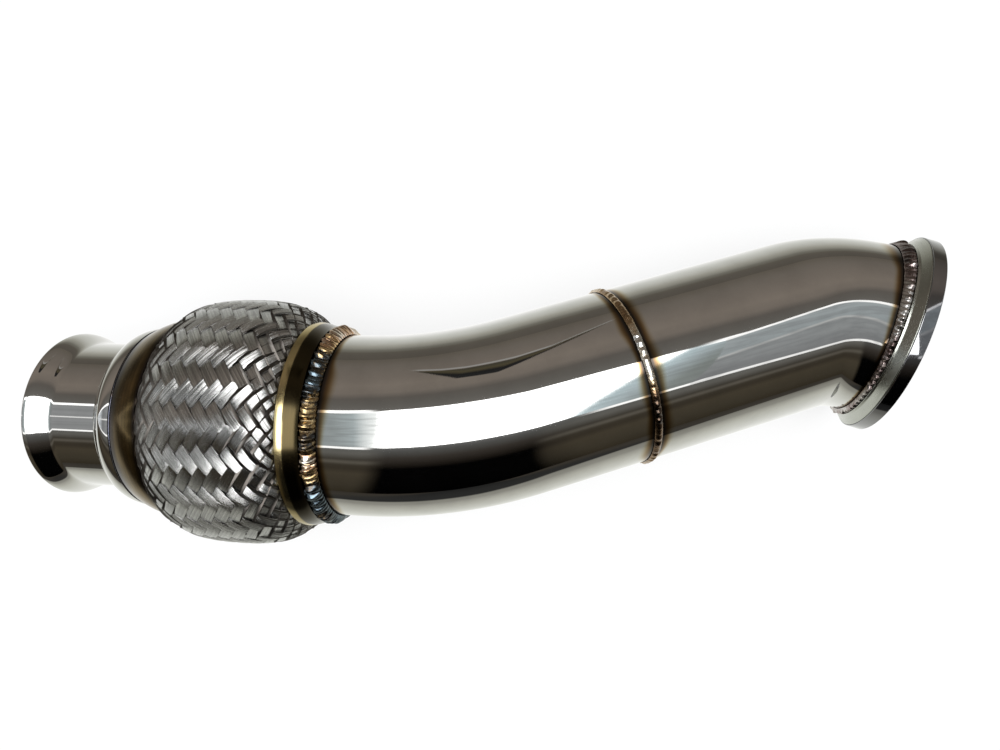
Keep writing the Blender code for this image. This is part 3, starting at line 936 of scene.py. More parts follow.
@dataclass
class Collars:
    """The two collars that grip the braid, domed at the inlet and with a valley at the outlet."""

    wall: float = 0.0015
    widest: float = 0.0433
    dome: float = 0.0041
    inlet_start: float = 0.0418
    inlet_end: float = 0.0556
    outlet_start: float = 0.1117
    outlet_end: float = 0.1205
    drop: float = 0.0017
    neck: float = 0.0035
    seat: float = 0.0384
    shelf: float = 0.0404
    seam_gap: float = 0.00065
    edge: float = 0.0004
    points: int = 26

    def inlet_radius(self, station: Array) -> Array:
        """Returns the dome's radius, a quarter sine from the seam to the braid."""
        share = (station - self.inlet_start) / (self.inlet_end - self.inlet_start)
        return self.widest - self.dome * (1 - np.sin(np.clip(share, 0.0, 1.0) * math.pi / 2))

    def outlet_radius(self, station: Array) -> Array:
        """Returns the outlet collar's radius: half a cosine from the braid down to the weld."""
        share = (station - self.outlet_start) / (self.outlet_end - self.outlet_start)
        return self.widest - self.drop * (1 - np.cos(np.clip(share, 0.0, 1.0) * math.pi)) / 2

    def inlet_patch(self) -> Patch:
        """Works out the domed collar, brown by its seam and again by the braid.

        Each brown end is a bell curve over the share of the collar's length.

        Returns:
            The closed surface with its bands.
        """
        station = np.linspace(self.inlet_start + self.seam_gap, self.inlet_end, self.points)
        outer = np.stack([station, self.inlet_radius(station)], 1)
        outer[-1] = (self.inlet_end, self.widest - self.edge)
        outer[-2] = (self.inlet_end - self.edge, self.widest)
        inner = outer[::-1] - (0.0, self.wall)
        inner[0] = (self.inlet_end, self.widest - self.wall + 0.0002)
        patch = turned_patch(np.concatenate([outer, inner]))
        there = np.linspace(0, 1, self.points)
        share = np.concatenate([there, there[::-1]])
        by_seam = 0.85 * np.exp(-((share / 0.16) ** 2))
        by_braid = 0.8 * np.exp(-(((share - 1.0) / 0.12) ** 2))
        patch.marks["band"] = (0.16 + by_seam + by_braid)[:, None]
        return patch

    def outlet_patch(self) -> Patch:
        """Works out the collar with the valley, gold on its ridge and brown down to the weld.

        Returns:
            The closed surface with its bands.
        """
        station = np.linspace(self.outlet_start, self.outlet_end, self.points)
        outer = np.stack([station, self.outlet_radius(station)], 1)
        outer[0] = (self.outlet_start, self.widest - self.edge)
        outer[1] = (self.outlet_start + 0.0003, self.widest)
        step = self.outlet_end - self.neck
        inner = [(self.outlet_end, self.seat), (step, self.seat), (step, self.shelf)]
        inner += [(self.outlet_start, self.widest - self.wall)]
        patch = turned_patch(np.concatenate([outer, np.array(inner)]))
        share = np.concatenate([np.linspace(0, 1, self.points), np.ones(len(inner))])
        patch.marks["band"] = (0.75 * np.clip((share - 0.28) / 0.14, 0, 1))[:, None]
        return patch

    def build(self, bronze: bpy.types.Material, gold: bpy.types.Material) -> None:
        """Makes both collars.

        Args:
            bronze: The inlet collar's finish.
            gold: The outlet collar's finish.
        """
        inlet, outlet = self.inlet_patch(), self.outlet_patch()
        make_piece("inlet_collar_bronze", [inlet], bronze, "inlet_collar")
        make_piece("outlet_collar_gold", [outlet], gold, "outlet_collar")


@dataclass
class Braid:
    """The woven sleeve: two lays of flat ribbons of wire, two over and two under, on a barrel."""

    start: float = 0.0556
    length: float = 0.0561
    edge: float = 0.0415
    widest: float = 0.0522
    sharpness: float = 3.0
    fullness: float = 0.72
    ribbons: int = 40
    steps: int = 22
    dip: float = 0.00038
    bow: float = 0.000096
    flat: float = 2.6
    worn_side: float = 0.00010
    thickness: float = 0.00024
    overrun: float = 1.1
    samples: int = 6
    across: int = 9
    width_spread: float = 0.02
    sway_all: float = 0.04
    sway_end: float = 0.26
    sway_from: float = 0.74
    sway_over: float = 0.22
    calm_ends: float = 0.06
    loose: float = 0.00022
    loose_from: float = 0.7
    loose_over: float = 0.25
    # Painted shade where a ribbon dips under the others, and along each ribbon's sides.
    dip_shade: float = 0.72
    side_shade: float = 0.4
    seed: int = 7

    def barrel(self, share: Array) -> Array:
        """Returns the outer radius at a share of the length: edge + bulge (1 - |2s - 1|^3)^0.72."""
        rise = np.maximum(1 - np.abs(2 * share - 1) ** self.sharpness, 0.0)
        return self.edge + (self.widest - self.edge) * rise**self.fullness

    def surface(self, share: Array) -> Array:
        """Returns the barrel's radius, which keeps falling a little under each collar."""
        under = np.maximum(np.maximum(-share, share - 1), 0.0) * self.length
        return self.barrel(np.clip(share, 0, 1)) - 0.1 * under

    def travel(self) -> tuple[Array, Array]:
        """Measures along the barrel's surface.

        Returns:
            Shares of the length, and the distance along the surface at each.
        """
        fine = np.linspace(0.0, 1.0, 1601)
        steps = np.hypot(np.diff(fine) * self.length, np.diff(self.barrel(fine)))
        return fine, np.concatenate([[0.0], np.cumsum(steps)])

    def share_at(self, arc: Array) -> Array:
        """Turns distances along the surface into shares of the length.

        Args:
            arc: The distances, straight on before the start and past the end.

        Returns:
            One share for each distance.
        """
        fine, travelled = self.travel()
        past = np.minimum(arc, 0) + np.maximum(arc - travelled[-1], 0)
        return np.interp(arc, travelled, fine) + past / self.length

    def lay(self, lean: int, rng: np.random.Generator) -> tuple[Array, Array]:
        """Works out the ribbons of one lay as arrays of (ribbon, row, point across).

        The middle of ribbon k runs through column 2k + lean * row of the lattice. A point off the
        middle is moved square to the ribbon on the barrel. A ribbon is as wide as the lattice
        leaves room for, and its height follows the crossings: it is up where k + lean * (column
        it crosses) falls on the first or last two of four, and each float is bowed like a cosine.
        Near the outlet the ribbons sway more and some have a side that stands off.

        Args:
            lean: 1 for ribbons whose angle grows along the pipe, -1 for the others.
            rng: Source of the small differences between ribbons.

        Returns:
            The points of every ribbon, and each one's depth below the floats, which sets its
            painted shade.
        """
        one_each = (self.ribbons, 1, 1)
        count = int(self.steps + 2 * self.overrun) * self.samples
        row = np.linspace(-self.overrun, self.steps + self.overrun, count)[None, :, None]
        ribbon = np.arange(self.ribbons)[:, None, None]
        t = np.linspace(-1.0, 1.0, self.across)[None, None, :]
        whole = self.travel()[1][-1]
        per_row = whole / self.steps
        progress = row / self.steps
        arc = progress * whole
        column_width = math.pi * self.surface(self.share_at(arc)) / self.ribbons
        slope = np.arctan2(column_width, per_row)
        room = 2 * column_width * per_row / np.hypot(column_width, per_row)
        off = room / 2 * (1 + rng.normal(0.0, self.width_spread, one_each)) * t
        late = np.clip((progress - self.sway_from) / self.sway_over, 0, 1)
        unrest = self.sway_all + self.sway_end * late**2
        phase = rng.uniform(0, math.tau, one_each)
        calm = np.clip(np.minimum(progress, 1 - progress) / self.calm_ends, 0, 1)
        sway = unrest * np.sin(row * (0.5 + 0.3 * rng.random(one_each)) + phase) * calm
        column = 2 * ribbon + lean * row + sway
        delta_column = off * np.cos(slope) / column_width
        delta_row = -lean * off * np.sin(slope) / per_row
        crossed = (lean * (column - 2 * ribbon + delta_column) + row + delta_row) / 2
        crossing = 2 * ribbon + crossed * lean
        wave = np.cos(math.pi / 2 * (crossing - (0.5 if lean > 0 else 2.5)))
        up = np.tanh(self.flat * wave) / math.tanh(self.flat)
        here = self.share_at(arc + delta_row * per_row)
        late = np.clip((progress - self.loose_from) / self.loose_over, 0, 1)
        stray = self.loose * late * rng.normal(0.0, 1.0, one_each)
        top = self.surface(here) - self.dip * (1 - up) / 2 - self.bow * (1 - np.maximum(wave, 0))
        top = top - self.worn_side * t**4 + stray * t * np.sin(row * 0.9 + phase) * calm
        station = np.broadcast_to(self.start + here * self.length, top.shape)
        angle = np.broadcast_to(math.pi * (column + delta_column) / self.ribbons, top.shape)
        low = top.mean(axis=2, keepdims=True) - self.thickness
        edges = [self.across - 1, 0]
        stations = np.concatenate([station, station[..., edges]], axis=2)
        angles = np.concatenate([angle, angle[..., edges]], axis=2)
        radii = np.concatenate([top, np.repeat(low, 2, axis=2)], axis=2)
        # Painted shade: darker where the ribbon dips under others and at its sides, full shade on
        # the hidden back faces.
        depth = (1 - up) / 2 * self.dip_shade + self.side_shade * np.abs(t) ** 16
        hidden = np.ones((self.ribbons, count, 2))
        return ROUTE.place(stations, radii, angles), np.concatenate([depth, hidden], axis=2)

    def build(self, wire: bpy.types.Material) -> None:
        """Makes both lays.

        Args:
            wire: The ribbons' finish.
        """
        rng = np.random.default_rng(self.seed)
        uv_scale = (1.0 / (self.across - 1), 0.01)
        for lean, name in ((1, "braid_lay_forward"), (-1, "braid_lay_back")):
            points, depths = self.lay(lean, rng)
            tones = rng.uniform(0.0, 1.0, self.ribbons)
            patches = [
                Patch(own, False, uv_scale, {"depth": depth, "ribbon_tone": np.full((1, 1), tone)})
                for own, depth, tone in zip(points, depths, tones)
            ]
            make_piece(name, patches, wire, "braid", sharp=75.0)


@dataclass
class Bellows:
    """The corrugated gas tube under the braid and the liner inside it."""

    start: float = 0.0521
    length: float = 0.0631
    cuff: float = 0.0394
    depth: float = 0.0076
    folds: int = 8
    cuff_length: float = 0.0050
    wall: float = 0.0006
    clearance: float = 0.0030
    squareness: float = 0.8

    def build(self, sheet: bpy.types.Material) -> None:
        """Makes the folds as a squared-up cosine that stays clear of the braid.

        The liner's solid is dressed as it is.

        Args:
            sheet: The finish of both.
        """
        braid = Braid()
        station = np.linspace(0.0, self.length, 260)
        inside = (station - self.cuff_length) / (self.length - 2 * self.cuff_length)
        wave = (1 - np.cos(np.clip(inside, 0.0, 1.0) * self.folds * math.tau)) / 2
        share = (station - (braid.start - self.start)) / braid.length
        room = braid.barrel(np.clip(share, 0, 1)) - self.clearance
        radius = np.minimum(self.cuff + self.depth, room)
        radius = self.cuff + (radius - self.cuff) * wave**self.squareness
        outer = np.stack([station + self.start, radius], 1)
        outline = np.concatenate([outer, outer[::-1] - (0.0, self.wall)])
        make_piece("bellows_folds", [turned_patch(outline, 120)], sheet, "bellows")
        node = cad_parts["liner"]
        node.data.materials.clear()
        node.data.materials.append(sheet)


@dataclass
class Tubes:
    """The two mandrel-bent tubes."""

    outer: float = 0.0381
    wall: float = 0.00165
    gap: float = 0.0003
    edge: float = 0.0003
    front_start: float = 0.1133
    socket: float = 0.0050
    spacing: float = 0.0016

    def outline(self, start: float, end: float) -> Array:
        """Works out a long thin box along the centreline, with its end edges eased.

        Args:
            start: The station where the tube starts.
            end: The station where it ends.

        Returns:
            The closed outline as rows of (station, radius).
        """
        count = max(12, int((end - start) / self.spacing))
        along = np.linspace(start + self.edge, end - self.edge, count)
        outer = np.stack([along, np.full(count, self.outer)], 1)
        inner = np.stack([along[::-1], np.full(count, self.outer - self.wall)], 1)
        high, low = self.outer - self.edge, self.outer - self.wall + self.edge
        right, left = [(end, high), (end, low)], [(start, low), (start, high)]
        return np.concatenate([outer, right, inner, left])

    def build(self, steel: bpy.types.Material) -> None:
        """Makes both tubes on either side of the middle weld.

        Args:
            steel: Their finish.
        """
        joint, flange = ROUTE.joint(), ROUTE.flange()
        front = turned_patch(self.outline(self.front_start, joint - self.gap / 2))
        rear = turned_patch(self.outline(joint + self.gap / 2, flange + self.socket - self.gap))
        make_piece("front_tube_polished", [front], steel, "front_tube")
        make_piece("rear_tube_polished", [rear], steel, "rear_tube")


class Bead(Enum):
    """Sections of a weld bead."""

    DOME = "dome"
    FILLET_BACK = "fillet leaning on a collar behind it"
    FILLET_FRONT = "fillet leaning on a hub in front of it"


@dataclass
class WeldBead:
    """A bead laid as a row of overlapping puddles round the pipe.

    The restart is the angle of the lump where the welder stopped and went on, and the oxide and
    light is a line of knots: the share of the way across the pipe from -1 to 1, and the share on
    the tint ramp there, which gives oxide colours and also painted highlight and painted shade by
    side.
    """

    name: str
    node: str
    kind: Bead
    station: float
    width: float
    height: float
    puddles: int
    ripple: float
    restart: float
    lump: float
    seed: int
    heat: tuple[tuple[float, float], ...]
    land: float = 0.0384
    across: int = 17
    per_puddle: int = 11
    crescent: float = 3.2
    wander: float = 1.3
    unevenness: float = 0.07

    @staticmethod
    def waves(rng: np.random.Generator, angle: Array, sizes: dict[int, float]) -> Array:
        """Adds up sines of random height and phase round the pipe.

        Args:
            rng: Source of the heights and phases.
            angle: Angles round the pipe.
            sizes: The spread of the height for each number of waves round the pipe.

        Returns:
            The sum at each angle.
        """
        return sum(
            rng.normal(0, size) * np.sin(k * angle + rng.uniform(0, math.tau))
            for k, size in sizes.items()
        )

    def points(self) -> tuple[Array, Array, Array]:
        """Works out the bead's surface.

        The section's height over the tube is a half sine for a dome and a quarter cosine for a
        fillet. Each puddle adds |sin| of half its phase, and the phase lags towards the bead's
        sides by the square of the distance from the middle, which bends the ripples into crescents.

        Returns:
            The surface's points, each one's depth between ripples, and its oxide's share.
        """
        rng = np.random.default_rng(self.seed)
        count = self.puddles * self.per_puddle
        angle = np.linspace(0.0, math.tau, count, endpoint=False)[None, :]
        t = np.linspace(0.0, 1.0, self.across)[:, None]
        wander = self.waves(rng, angle, {k: 1.0 / k for k in range(3, 30, 4)})
        phase = self.puddles * angle + self.crescent * (2 * t - 1) ** 2 + self.wander * wander
        coin = np.abs(np.sin(phase / 2)) ** 0.7
        uneven = self.waves(rng, angle, {k: self.unevenness for k in range(5, 90, 9)})
        if self.kind is Bead.DOME:
            shape = np.sin(math.pi * t) ** 0.8
            along = (t - 0.5) * self.width
            near_side = -1.0
        else:
            shape = np.cos(math.pi / 2 * t) ** 0.62 * (0.94 + 0.25 * np.sin(math.pi * t))
            along = t * self.width
            near_side = 0.0
        scallop = self.ripple * 0.9 * coin * np.where(t > 0.5, 1.0, near_side)
        along = along + scallop * np.abs(2 * t - 1)
        if self.kind is Bead.FILLET_FRONT:
            along = -along
        swell = 1 + uneven + self.lump * np.exp(-(((angle - self.restart) / 0.05) ** 2))
        body = np.clip(shape * 1.5, 0, 1)
        radius = self.land + self.height * shape * swell + self.ripple * (coin - 0.6) * body
        radius = np.maximum(radius, self.land + 0.00002)
        base = np.full_like(radius[:1], self.land)
        stations = self.station + np.concatenate([along, along[-1:], along[:1]])
        radii = np.concatenate([radius, base, base])
        placed = ROUTE.place(stations, radii, np.broadcast_to(angle, radii.shape))
        hidden = np.ones_like(base)
        # Painted shade: deep between ripples, full shade on the two hidden base rings.
        depth = np.concatenate([np.broadcast_to(1 - coin, radius.shape), hidden, hidden])
        # Tint share by the side across the pipe: oxide colours, with painted highlight and painted
        # shade where the knots pick the palest and darkest tints.
        low, high = placed[..., 1].min(), placed[..., 1].max()
        knots = np.array(self.heat)
        share = 2 * (placed[..., 1] - low) / (high - low) - 1
        return placed, depth, np.interp(share, knots[:, 0], knots[:, 1])

    def build(self, finish: bpy.types.Material) -> None:
        """Makes the bead.

        Args:
            finish: Its finish.
        """
        points, depth, heat = self.points()
        uv_scale = (math.tau * self.land / points.shape[1], 0.0003)
        patch = Patch(points, True, uv_scale, {"depth": depth, "oxide_and_light_share": heat})
        make_piece(self.name, [patch], finish, self.node, sharp=70.0)


@dataclass
class ClampFlange:
    """The outlet flange: hub, sloped back for the clamp, rim, and the recess in its face."""

    hub: float = 0.0404
    hub_length: float = 0.0010
    rim: float = 0.0443
    rim_width: float = 0.0052
    back_angle: float = math.radians(38.5)
    bore: float = 0.03645
    socket: float = 0.0384
    socket_depth: float = 0.0050
    recess: float = 0.0418
    recess_depth: float = 0.0016
    skin: float = 0.0006
    overlap: float = 0.00005

    def build(self, satin: bpy.types.Material, steel: bpy.types.Material) -> None:
        """Makes the flange, its edges broken as a lathe leaves them, and its polished rim.

        Args:
            satin: The turned body's finish.
            steel: The rim's finish.
        """
        slope = (self.rim - self.hub) * math.tan(self.back_angle)
        length = self.hub_length + slope + self.rim_width
        rim_start = length - self.rim_width
        floor = length - self.recess_depth
        under = self.rim - self.skin
        body = [
            (0.0, self.hub), (self.hub_length, self.hub), (rim_start - 0.0003, under + 0.0002),
            (rim_start + 0.0003, under), (length - 0.0006, under), (length, under - 0.0004),
            (length, self.recess), (floor, self.recess), (floor, self.bore),
            (self.socket_depth, self.bore), (self.socket_depth, self.socket), (0.0, self.socket),
        ]
        inside = under + self.overlap
        band = [(rim_start, inside), (rim_start, self.rim), (length, self.rim), (length, inside)]
        for name, outline, edge, steps, finish in (
            ("clamp_flange_turned", body, 0.0003, 4, satin),
            ("clamp_flange_rim", band, 0.00035, 5, steel),
        ):
            curve = rounded([(ROUTE.flange() + x, r) for x, r in outline], edge, steps)
            patch = turned_patch(curve)
            make_piece(name, [patch], finish, "vband_flange", sharp=30.0)


# ----- The studio


@dataclass
class Studio:
    """A pale floor, a soft room round it and a camera that looks down at the pipe."""

    camera_place: Point = (-0.00274, -0.00559, 0.35131)
    camera_turn: Point = (2.433, -0.076, -5.983)
    lens: float = 24.528
    sensor: float = 36.0
    floor_half: float = 3.0
    floor_white: Colour = grey(0.86)
    window_white: Colour = grey(6.5)
    window_middle: float = 0.075
    room_turn: float = -5.6
    room_light: Colour = (0.78, 0.79, 0.80)
    lamp_place: Point = (0.0, -0.12, 1.1)
    lamp_tilt: float = -6.0
    lamp_size: tuple[float, float] = (1.2, 0.6)
    lamp_power: float = 9.0

    def camera(self) -> None:
        """Makes the camera at the photograph's angle."""
        data = bpy.data.cameras.new("camera")
        data.lens, data.sensor_width = self.lens, self.sensor
        data.clip_start, data.clip_end = 0.01, 50.0
        made = bpy.data.objects.new("camera", data)
        made.location = self.camera_place
        made.rotation_euler = Euler(tuple(math.radians(a) for a in self.camera_turn))
        bpy.context.scene.collection.objects.link(made)
        bpy.context.scene.camera = made

    @staticmethod
    def stage_sheet(name: str, corners: list[Point], finish: str) -> tuple[bpy.types.Object, Graph]:
        """Makes one face that belongs to the studio, with a material that has no shader yet.

        Args:
            name: The face's name.
            corners: Its four corners in order.
            finish: The material's name.

        Returns:
            The new object and its material's graph.
        """
        mesh = bpy.data.meshes.new(name)
        mesh.from_pydata(corners, [], [(0, 1, 2, 3)])
        made = bpy.data.objects.new(name, mesh)
        bpy.context.scene.collection.objects.link(made)
        material = bpy.data.materials.new(finish)
        material.use_nodes = True
        tree = material.node_tree
        tree.nodes.remove(tree.nodes["Principled BSDF"])
        mesh.materials.append(material)
        return made, Graph(tree)

    @staticmethod
    def rays(graph: Graph) -> tuple[Link, Link]:
        """Tells the camera's own rays from those that metal mirrors.

        Args:
            graph: The material's or the world's graph.

        Returns:
            A mask of the camera's rays and one of the mirrored rays.
        """
        path = graph.node("LightPath").outputs
        mirrored = graph.math("MAXIMUM", path["Is Glossy Ray"], path["Is Transmission Ray"])
        return path["Is Camera Ray"], mirrored

    def floor(self) -> None:
        """Makes the floor, white to the camera apart from the pipe's shadow.

        The steel mirrors a painted pool of light on the floor close by, which dims with the
        distance to both sides. The shadow needs a share of the matte white, the rest of which
        glows.
        """
        half = self.floor_half
        corners = [(-half, -half, 0), (half, -half, 0), (half, half, 0), (-half, half, 0)]
        _, graph = self.stage_sheet("floor", corners, "floor_white")
        parts = graph.axes(graph.node("TexCoord").outputs["Object"])
        # Painted pool of light and painted shade on the floor, seen only in the steel's
        # reflections.
        far = graph.ramp(graph.plus(parts["Y"], 0.5), [
            (0.0, (0.20, 0.19, 0.16)),
            (0.27, (0.36, 0.355, 0.31)),
            (0.34, (0.60, 0.60, 0.53)),
            (0.40, (0.80, 0.81, 0.74)),
            (0.46, (1.05, 1.06, 1.02)),
            (0.56, (1.1, 1.1, 1.08)),
            (0.60, (0.80, 0.81, 0.76)),
            (0.67, (0.46, 0.45, 0.39)),
            (0.75, (0.21, 0.20, 0.165)),
            (0.85, (0.12, 0.105, 0.08)),
            (1.0, (0.11, 0.095, 0.075)),
        ])
        side = graph.span(graph.size(parts["X"]), 0.15, 0.5)
        gloom = graph.mix(side, (0.002, 0.002, 0.001), (0.035, 0.028, 0.018))
        reach = graph.line(graph.math("MAXIMUM", parts["X"], 0.0), 0.35, 0.31)
        lit = graph.span(graph.plus(parts["Y"], reach), -0.02, 0.03)
        camera, mirrored = self.rays(graph)
        shown = graph.mix(camera, graph.mix(lit, gloom, far), grey(1.0))
        glow = graph.node("Emission", {"Color": shown, "Strength": 1.0})
        matte = graph.node("BsdfDiffuse", {"Color": (*self.floor_white, 1.0)})
        glowing = graph.math("MAXIMUM", graph.times(camera, 0.72), graph.times(mirrored, 0.97))
        blend = graph.node("MixShader", {0: glowing, 1: matte.outputs[0], 2: glow.outputs[0]})
        graph.feed(graph.tree.nodes["Material Output"], {"Surface": blend.outputs[0]})

    @staticmethod
    def bands(graph: Graph, angle: Link, levels: Stops) -> Link:
        """Returns a colour by the angle across the pipe, over (degrees, colour) levels."""
        share = graph.math("DIVIDE", graph.plus(angle, 180.0), 360.0)
        return graph.ramp(share, [((degrees + 180.0) / 360.0, tint) for degrees, tint in levels])

    def shade(self, graph: Graph, angle: Link, aside: Link) -> Link:
        """Makes the room beside the window: bands of shade, paler below towards the pipe's ends.

        Args:
            graph: The world's graph.
            angle: The angle across the pipe in degrees.
            aside: How far the direction leads away from the window's middle along the pipe.

        Returns:
            The room's colour.
        """
        above = [
            (20, (0.20, 0.19, 0.175)),
            (28, (0.165, 0.155, 0.14)),
            (35, (0.155, 0.14, 0.125)),
            (42, (0.25, 0.215, 0.185)),
            (52, (0.275, 0.235, 0.20)),
            (62, (0.245, 0.21, 0.18)),
            (80, (0.20, 0.175, 0.15)),
            (92, (0.155, 0.135, 0.11)),
            (180, (0.12, 0.105, 0.08)),
        ]
        middle = self.bands(graph, angle, [
            (-180, grey(0.0)),
            (-54, grey(0.001)),
            (-48, (0.022, 0.018, 0.014)),
            (-40, (0.055, 0.047, 0.04)),
            (-31, (0.12, 0.12, 0.115)),
            (-26, grey(0.22)),
            *above,
        ])
        ends = self.bands(graph, angle, [
            (-180, (0.04, 0.032, 0.02)),
            (-95, (0.04, 0.032, 0.02)),
            (-80, (0.062, 0.052, 0.036)),
            (-62, (0.08, 0.066, 0.045)),
            (-55, (0.055, 0.045, 0.032)),
            (-50, (0.062, 0.052, 0.038)),
            (-46, (0.15, 0.135, 0.11)),
            (-42, (0.07, 0.062, 0.05)),
            (-34, (0.17, 0.165, 0.15)),
            (-28, (0.16, 0.16, 0.15)),
            *above,
        ])
        return graph.mix(graph.span(aside, 0.33, 0.45), middle, ends)

    def window(self, graph: Graph, way: Link, along: Link) -> Link:
        """Makes the window's panes, which change along the pipe and have faint slats.

        Args:
            graph: The world's graph.
            way: The direction, turned as the room is.
            along: Its part along the pipe.

        Returns:
            The window's colour.
        """
        panes = graph.ramp(graph.line(along, 0.5, 0.5), [
            (0.0, (1.1, 1.15, 1.2)),
            (0.02, (0.9, 0.95, 1.0)),
            (0.05, (0.30, 0.31, 0.32)),
            (0.13, (0.42, 0.43, 0.44)),
            (0.22, (0.34, 0.37, 0.37)),
            (0.29, (0.60, 0.68, 0.70)),
            (0.33, (1.6, 1.65, 1.65)),
            (0.36, self.window_white),
            (0.72, self.window_white),
            (0.74, (0.75, 0.92, 0.98)),
            (0.76, (0.60, 0.70, 0.74)),
            (0.79, (0.34, 0.38, 0.37)),
            (0.90, (0.30, 0.31, 0.30)),
            (1.0, grey(0.3)),
        ])
        slats = graph.noise(graph.stretch(way, (9.0, 22.0, 4.0)), 1.0)
        return graph.mix(graph.times(graph.span(slats, 0.35, 0.7), 0.35), panes, (0.22, 0.23, 0.23))

    def frame_lines(self, graph: Graph, seen: Link, angle: Link, aside: Link) -> Link:
        """Draws the window's bright frame and its middle bar towards the pipe's ends.

        Args:
            graph: The world's graph.
            seen: The room's colour.
            angle: The angle across the pipe in degrees.
            aside: How far the direction leads away from the window's middle along the pipe.

        Returns:
            The room's colour with the lines in it.
        """
        soft = 0.5
        fade = 0.06
        for low, high, start, level in (
            (17.0, 20.5, 0.40, 2.2),
            (-28.5, -25.8, 0.40, 1.7),
            (-4.5, -2.5, 0.58, 1.2),
        ):
            above = graph.span(angle, low - soft, low + soft)
            below = graph.span(angle, high - soft, high + soft, start=1.0, end=0.0)
            outside = graph.span(aside, start, start + fade)
            seen = graph.mix(graph.times(graph.times(above, below), outside), seen, grey(level))
        return seen

    def room(self) -> None:
        """Makes the world that the steel mirrors: a window overhead between bands of shade.

        The angle runs across the pipe, 0 overhead. The window is white only towards the middle of
        the pipe's length, and greyer, with a bright frame above and below, towards both ends.
        """
        world = bpy.data.worlds.new("room")
        bpy.context.scene.world = world
        world.use_nodes = True
        graph = Graph(world.node_tree)
        values = {
            "Vector": graph.node("TexCoord").outputs["Generated"],
            "Angle": math.radians(-self.room_turn),
        }
        way = graph.node("VectorRotate", values, rotation_type="Z_AXIS").outputs[0]
        parts = graph.axes(way)
        angle = graph.math("DEGREES", graph.math("ARCTAN2", parts["Y"], parts["Z"]))
        aside = graph.size(graph.minus(parts["X"], self.window_middle))
        below_top = graph.span(angle, 17.5, 19.5, start=1.0, end=0.0)
        opening = graph.times(graph.span(angle, -27.0, -25.5), below_top)
        shade, window = self.shade(graph, angle, aside), self.window(graph, way, parts["X"])
        seen = graph.mix(opening, shade, window)
        white = graph.times(graph.span(aside, 0.35, 0.40, start=1.0, end=0.0), opening)
        seen = graph.mix(white, seen, self.window_white)
        seen = self.frame_lines(graph, seen, angle, aside)
        seen = self.feather(graph, seen, angle, parts["X"])
        camera, mirrored = self.rays(graph)
        colour = graph.mix(camera, graph.mix(mirrored, self.room_light, seen), grey(1.0))
        graph.feed(graph.tree.nodes["Background"], {"Color": colour})

    def feather(self, graph: Graph, seen: Link, angle: Link, along: Link) -> Link:
        """Puts a long dark form with a pale upper edge into the room, above the window.

        One ramp over the way along the pipe holds the form's middle angle over 100 degrees and its
        half width over 10 degrees.

        Args:
            graph: The world's graph.
            seen: The room's colour.
            angle: The angle across the pipe in degrees.
            along: The part of the direction along the pipe.

        Returns:
            The room's colour with the form in it.
        """
        per_along, offset_along = 2.5, 0.65
        middle_unit, half_unit = 100.0, 10.0
        stops = (
            (-0.25, 70, 0), (-0.18, 62, 3.5), (-0.12, 57, 6.5), (0.0, 56, 7),
            (0.045, 60, 5.5), (0.075, 71, 3), (0.095, 80, 0),
        )
        shape = graph.ramp(graph.line(along, per_along, offset_along), [
            (per_along * a + offset_along, (middle / middle_unit, half / half_unit, 0.0))
            for a, middle, half in stops
        ])
        parts = graph.node("SeparateColor", {0: shape}).outputs
        middle = graph.times(parts[0], middle_unit)
        half = graph.times(parts[1], half_unit)
        offset = graph.minus(angle, middle)
        inside = graph.span(graph.minus(half, graph.size(offset)), 0.0, 1.2)
        line = graph.size(graph.minus(offset, graph.plus(half, 1.0)))
        real = graph.span(half, 0.2, 1.5)
        edge = graph.times(graph.span(line, 0.3, 1.5, start=1.0, end=0.0), real)
        core = graph.ramp(graph.math("DIVIDE", graph.plus(offset, 8.0), 16.0), [
            (0.0, grey(0.03)),
            (0.4, grey(0.02)),
            (0.6, (0.10, 0.085, 0.05)),
            (1.0, (0.05, 0.05, 0.045)),
        ])
        seen = graph.mix(graph.times(inside, real), seen, core)
        return graph.mix(edge, seen, (0.42, 0.41, 0.39))

    def card(self) -> None:
        """Hangs a grey card with bright edges over the flange, seen by the steel alone.

        It stands for the room's own window as the flange mirrors it from close by: its edges lie
        at the window's two frame angles, and it is greyer than the window.
        """
        left, right, height = 0.165, 0.32, 0.20
        near_left, near_right, far_left, far_right = -0.075, -0.085, 0.042, 0.100
        made, graph = self.stage_sheet("card", [
            (left, near_left, height),
            (right, near_right, height),
            (right, far_right, height),
            (left, far_left, height),
        ], "card_grey")
        layer = made.data.uv_layers.new(name="UVMap")
        layer.data.foreach_set("uv", (0.0, 0.0, 1.0, 0.0, 1.0, 1.0, 0.0, 1.0))
        made.visible_camera = made.visible_diffuse = made.visible_shadow = False
        where = graph.node("TexCoord").outputs
        frames = graph.ramp(graph.axes(where["UV"])["Y"], [
            (0.0, grey(1.5)),
            (0.045, grey(1.5)),
            (0.06, (0.30, 0.31, 0.32)),
            (0.35, (0.40, 0.42, 0.43)),
            (0.50, (0.36, 0.38, 0.39)),
            (0.55, (0.70, 0.71, 0.71)),
            (0.60, (0.45, 0.50, 0.52)),
            (0.94, (0.50, 0.55, 0.57)),
            (0.955, grey(1.7)),
            (1.0, grey(1.7)),
        ])
        slats = graph.noise(graph.stretch(where["Object"], (30.0, 75.0, 1.0)), 1.0, 3.0, 0.6)
        dim = graph.times(graph.span(slats, 0.35, 0.7), 0.45)
        seen = graph.mix(dim, frames, (0.24, 0.25, 0.26))
        glow = graph.node("Emission", {"Color": seen, "Strength": 1.0})
        graph.feed(graph.tree.nodes["Material Output"], {"Surface": glow.outputs[0]})

